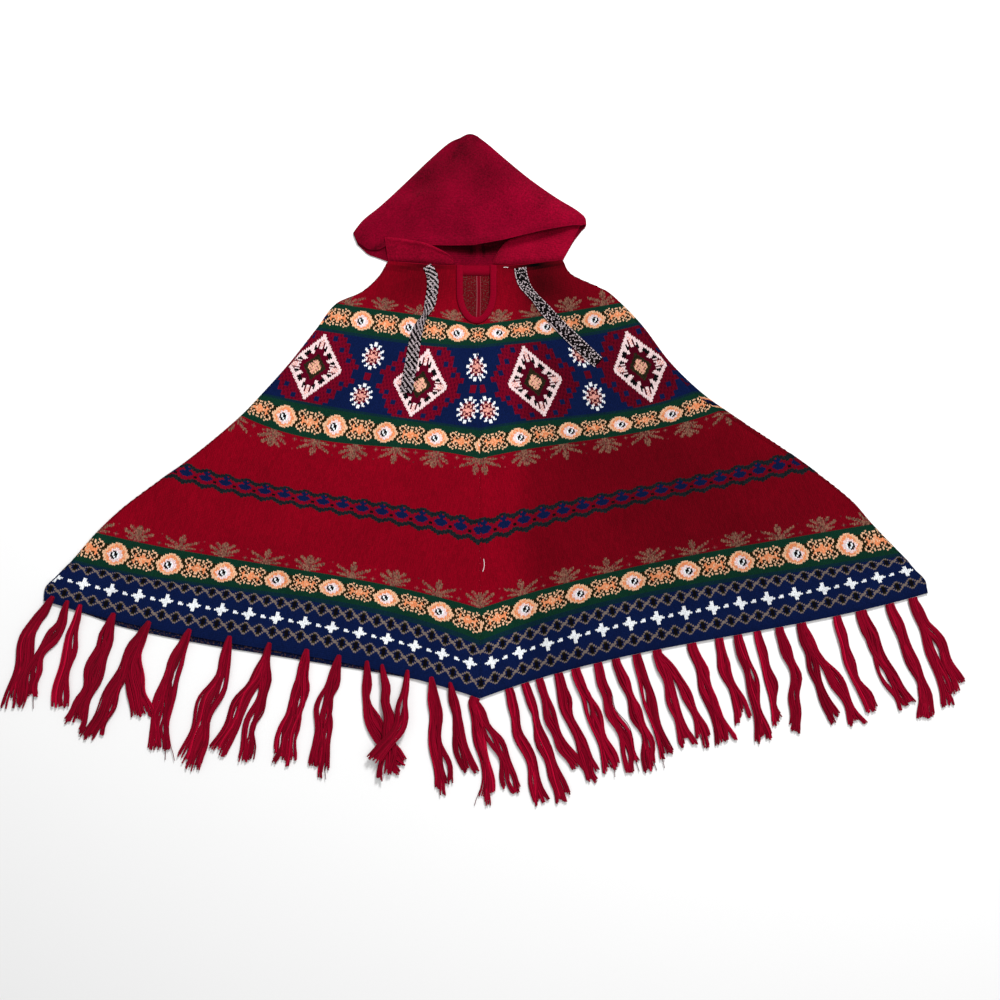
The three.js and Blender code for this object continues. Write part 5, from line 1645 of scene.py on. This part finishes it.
def tassel(number):
    """All the yarns of one tassel, bunch by bunch and lock by lock."""
    bunches = [dict(zip(BUNCH_COLUMNS, row)) for row in BUNCHES if row[0] == number]
    random = np.random.default_rng(100 + number)
    hem, along, out = on_hem(bunches[0]["hem"])
    over = number <= LAST_OVER_HEM
    widths = WIDTH_OVER if over else WIDTH_UNDER
    lines, radii, shades = [], [], []
    if over:
        knee = np.mean([(bunch["knee_x"], bunch["knee_y"]) for bunch in bunches], axis=0)
        out = (knee - hem) / np.hypot(*(knee - hem))
        along = np.array([-out[1], out[0]])

    def near_hem(away, aside, z):
        flat = hem + out * away + along * aside
        return np.array([flat[0], flat[1], z])

    hem_top = float(front_top(hem[0], hem[1]))
    for order, bunch in enumerate(bunches):
        z = TABLE_ROOM + bunch["level"] * LEVEL_STEP
        aside = ((order + 0.5) / len(bunches) - 0.5) * HEAD_WIDTH
        knee_away = math.hypot(bunch["knee_x"] - hem[0], bunch["knee_y"] - hem[1])
        if over:
            start = [near_hem(-12, 0.4 * aside, hem_top + 0.2), near_hem(1.5, 0.7 * aside, hem_top + 0.4)]
            start.append(near_hem(min(14, 0.6 * knee_away), aside, max(z, 2.0)))
        else:
            start = [near_hem(0.6, aside, 2.0), near_hem(9, aside, 1.2)]
        spots = [(bunch[f"{key}_x"], bunch[f"{key}_y"], z) for key in ("knee", "bend", "tip")]
        route = start + [np.array(spot, float) for spot in spots]
        marks = np.linspace(0, 1, 200)
        steps = np.diff(curve_through(route, marks)[:, :2], axis=0)
        gone = np.concatenate([[0], np.cumsum(np.hypot(*steps.T))])
        length = gone[-1]
        phase, waves = random.random(), length / random.uniform(95, 140)
        for lock in range(bunch["locks"]):
            share = (lock + 0.5) / bunch["locks"] - 0.5
            lock_phase, lock_waves = random.random(), length / random.uniform(60, 110)
            lock_shade, swap_at = random.uniform(0.72, 1.12), random.uniform(0.2, 0.8)
            lock_end = random.uniform(0.88, 1.0)
            for _ in range(YARNS_A_LOCK):
                stray = random.random() < STRAYS
                reach = lock_end - 0.06 * random.random() if not stray else 0.98
                t = np.linspace(0, reach, YARN_STEPS)
                middle = curve_through(route, np.interp(t * length, gone, marks))
                ahead = np.gradient(middle[:, :2], axis=0)
                ahead /= np.hypot(*ahead.T)[:, None]
                normal = np.stack([-ahead[:, 1], ahead[:, 0]], -1)
                free = np.clip((t - 0.08) / 0.2, 0, 1)
                width = (bunch["spread"] + LOCK_WIDTH) * np.interp(t, WIDTH_AT, widths)
                own = random.uniform(-0.5, 0.5)
                turns = 2 * math.pi * (t * lock_waves + lock_phase)
                sway = SWAY * np.sin(2 * math.pi * (t * waves + phase)) + LOCK_SWAY * np.sin(turns)
                sway = sway + YARN_SWAY * np.sin(turns * random.uniform(0.8, 1.6) + 6 * own)
                if stray:
                    sway = sway + 12 * (t**2) * math.copysign(1, own) * np.sin(4 * t + swap_at)
                crossing = share * (1 - 0.5 * np.exp(-(((t - swap_at) / 0.16) ** 2)))
                shift = width * (crossing + own * 1.1 / bunch["locks"]) + sway * free
                middle[:, :2] += normal * shift[:, None]
                height = random.random()
                middle[:, 2] = np.maximum(middle[:, 2], TABLE_ROOM) + YARN_RADIUS + height * mix(3.6, 2.0, t)
                lines.append(middle)
                radii.append(YARN_RADIUS * (0.45 if stray else 1) * mix(1.0, 0.85, t**2))
                # Painted highlight on a few yarns
                highlight = HIGHLIGHT if random.random() < HIGHLIGHT_YARNS else 1
                shades.append(lock_shade * random.uniform(0.75, 1.15) * (0.5 if stray else highlight))
    for half in LOOPS if over else ():
        bend = np.linspace(-1, 1, YARN_STEPS)
        away = mix(half - LOOP_BACK, 3.0, np.abs(bend) ** 1.2)
        rise = mix(hem_top + 1.4, 4.0, np.clip((away + 2) / 11, 0, 1))
        loop = [near_hem(d, half * math.copysign(abs(w) ** 0.8, w), z) for d, w, z in zip(away, bend, rise)]
        lines.append(np.array(loop))
        radii.append(np.full(YARN_STEPS, YARN_RADIUS))
        shades.append(random.uniform(0.9, 1.15))
    return yarns_piece(f"tassel_{number:02d}_yarn", lines, radii, shades)


for number in range(1, BUNCHES[-1][0] + 1):
    dress(tassel(number), [f"tassel_{number:02d}"])

# %% [markdown]
# Small things tell that it is sewn: a loose end of pale thread on the centre seam, a stitch by the right
# drawstring, and the pressed seam allowance of the back that shows in the slit. They are thin tubes and a
# narrow shell.

# %% Threads and the back's seam allowance
THREAD_RADIUS, THREAD_ROOM = 0.5, 0.2


def thread(name, spots):
    """A loose end of thread on the front, through a few places."""
    spots = np.array(spots, float)
    ground = front_top(spots[:, 0], spots[:, 1]) + THREAD_RADIUS + THREAD_ROOM
    line = curve_through(np.column_stack([spots, ground]), np.linspace(0, 1, YARN_STEPS))
    rings = tube(line, np.full(YARN_STEPS, THREAD_RADIUS))
    ids = np.arange(YARN_STEPS * YARN_SIDES).reshape(YARN_STEPS, YARN_SIDES)
    faces = ring_faces(ids) + [ids[0].tolist(), ids[-1][::-1].tolist()]
    uv = stitch_grid(np.linspace(0, 20, YARN_STEPS), np.linspace(0, 1, YARN_SIDES))
    piece = make_piece(name, rings.reshape(-1, 3), faces, [white_thread], uv)
    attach(piece, "root")


thread("seam_thread", [(6.5, 246), (7.5, 238), (6.8, 230), (4.8, 224)])
thread("sewn_stitch", [(41, 752.5), (45, 753.2), (49, 752.2)])

ALLOWANCE = table(("x", "up"), [  # its section: two soft banks with the seam between them
    (-7.4, 0.2), (-6.8, 1.1), (-5.8, 1.2), (-4.3, 0.6), (-3.6, 0.3),
    (-2.9, 0.6), (-1.4, 1.2), (-0.4, 1.1), (0.3, 0.2),
])
ALLOWANCE_LOW, ALLOWANCE_HIGH, ALLOWANCE_ROWS = 660, 738, 40
ALLOWANCE_MIDDLE, CUT_EDGE_OUT = -3.5, 2.6  # its middle, and how far out the pale cut edges start
ALLOWANCE_SUNK = 0.3  # into the back, so that no light comes under it


def allowance_sway(y):
    return 1.2 * np.sin((y - ALLOWANCE_LOW) / 30)


allowance_y = np.linspace(ALLOWANCE_LOW, ALLOWANCE_HIGH, ALLOWANCE_ROWS)[:, None]
allowance_x = ALLOWANCE["x"][None, :] + allowance_sway(allowance_y)
upper = np.stack(np.broadcast_arrays(allowance_x, allowance_y, WALL + ALLOWANCE["up"][None, :]), -1)
under = upper.copy()
under[..., 2] = WALL - ALLOWANCE_SUNK
points, faces = shell(upper, under)
face_at = np.array([points[face].mean(axis=0) for face in faces])
off_middle = np.abs(face_at[:, 0] - allowance_sway(face_at[:, 1]) - ALLOWANCE_MIDDLE)
is_edge = (off_middle > CUT_EDGE_OUT)[:, None]
colours = np.where(is_edge, ALLOWANCE_EDGE[None, :], ALLOWANCE_RED[None, :])
uv = shell_map(ALLOWANCE_ROWS, len(ALLOWANCE["x"]), 30, 4)
allowance = make_piece("back_seam_allowance", points, faces, [band_knit], uv, colours)
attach(allowance, "root")

# %% [markdown]
# The table is one plain pale sheet. A wide soft light from above and a little to the left, with bright
# surroundings, gives the short pale shadows beside the hood and the fringe.

# %% Table and light
FLOOR_SIZE, FLOOR_UNDER = 8.0, 0.0002
FLOOR_WHITE, FLOOR_ROUGHNESS = (0.86, 0.86, 0.86, 1), 0.7
floor_mesh = bpy.data.meshes.new("floor")
half = FLOOR_SIZE / 2
corners = [(-half, -half, 0), (half, -half, 0), (half, half, 0), (-half, half, 0)]
floor_mesh.from_pydata(corners, [], [[0, 1, 2, 3]])
floor = add_object("floor", floor_mesh)
floor.location.z = -FLOOR_UNDER
white = bpy.data.materials.new("table_white")
white.use_nodes = True
shader = white.node_tree.nodes["Principled BSDF"]
shader.inputs["Base Color"].default_value = FLOOR_WHITE
shader.inputs["Roughness"].default_value = FLOOR_ROUGHNESS
floor_mesh.materials.append(white)

world = bpy.data.worlds.new("studio")
bpy.context.scene.world = world
world.use_nodes = True
background = world.node_tree.nodes["Background"]
background.inputs["Color"].default_value = (1, 1, 1, 1)
background.inputs["Strength"].default_value = 0.5


def soft_light(name, place, size, power):
    """A round soft light in metres and watts, turned to the middle of the garment."""
    data = bpy.data.lights.new(name, "AREA")
    data.shape = "DISK"
    data.size = size
    data.energy = power
    lamp = add_object(name, data)
    lamp.location = place
    aim = -lamp.location.normalized()
    lamp.rotation_euler = aim.to_track_quat("-Z", "Y").to_euler()


soft_light("key", (0.9, 2.7, 2.3), 0.9, 150)
soft_light("fill", (1.2, 0.4, 3.0), 2.0, 26)
print("lights:", len(bpy.data.lights))

# %% [markdown]


# %% [markdown]
# The last step counts the triangles.

# %% Sizes and finish
def triangles(piece):
    return sum(len(face.vertices) - 2 for face in piece.data.polygons)


meshes = [piece for piece in bpy.data.objects if piece.type == "MESH" and "stitches" in piece.data.uv_layers]
counts = [triangles(piece) for piece in meshes]
print("triangles:", sum(counts), "most in one piece:", max(counts))
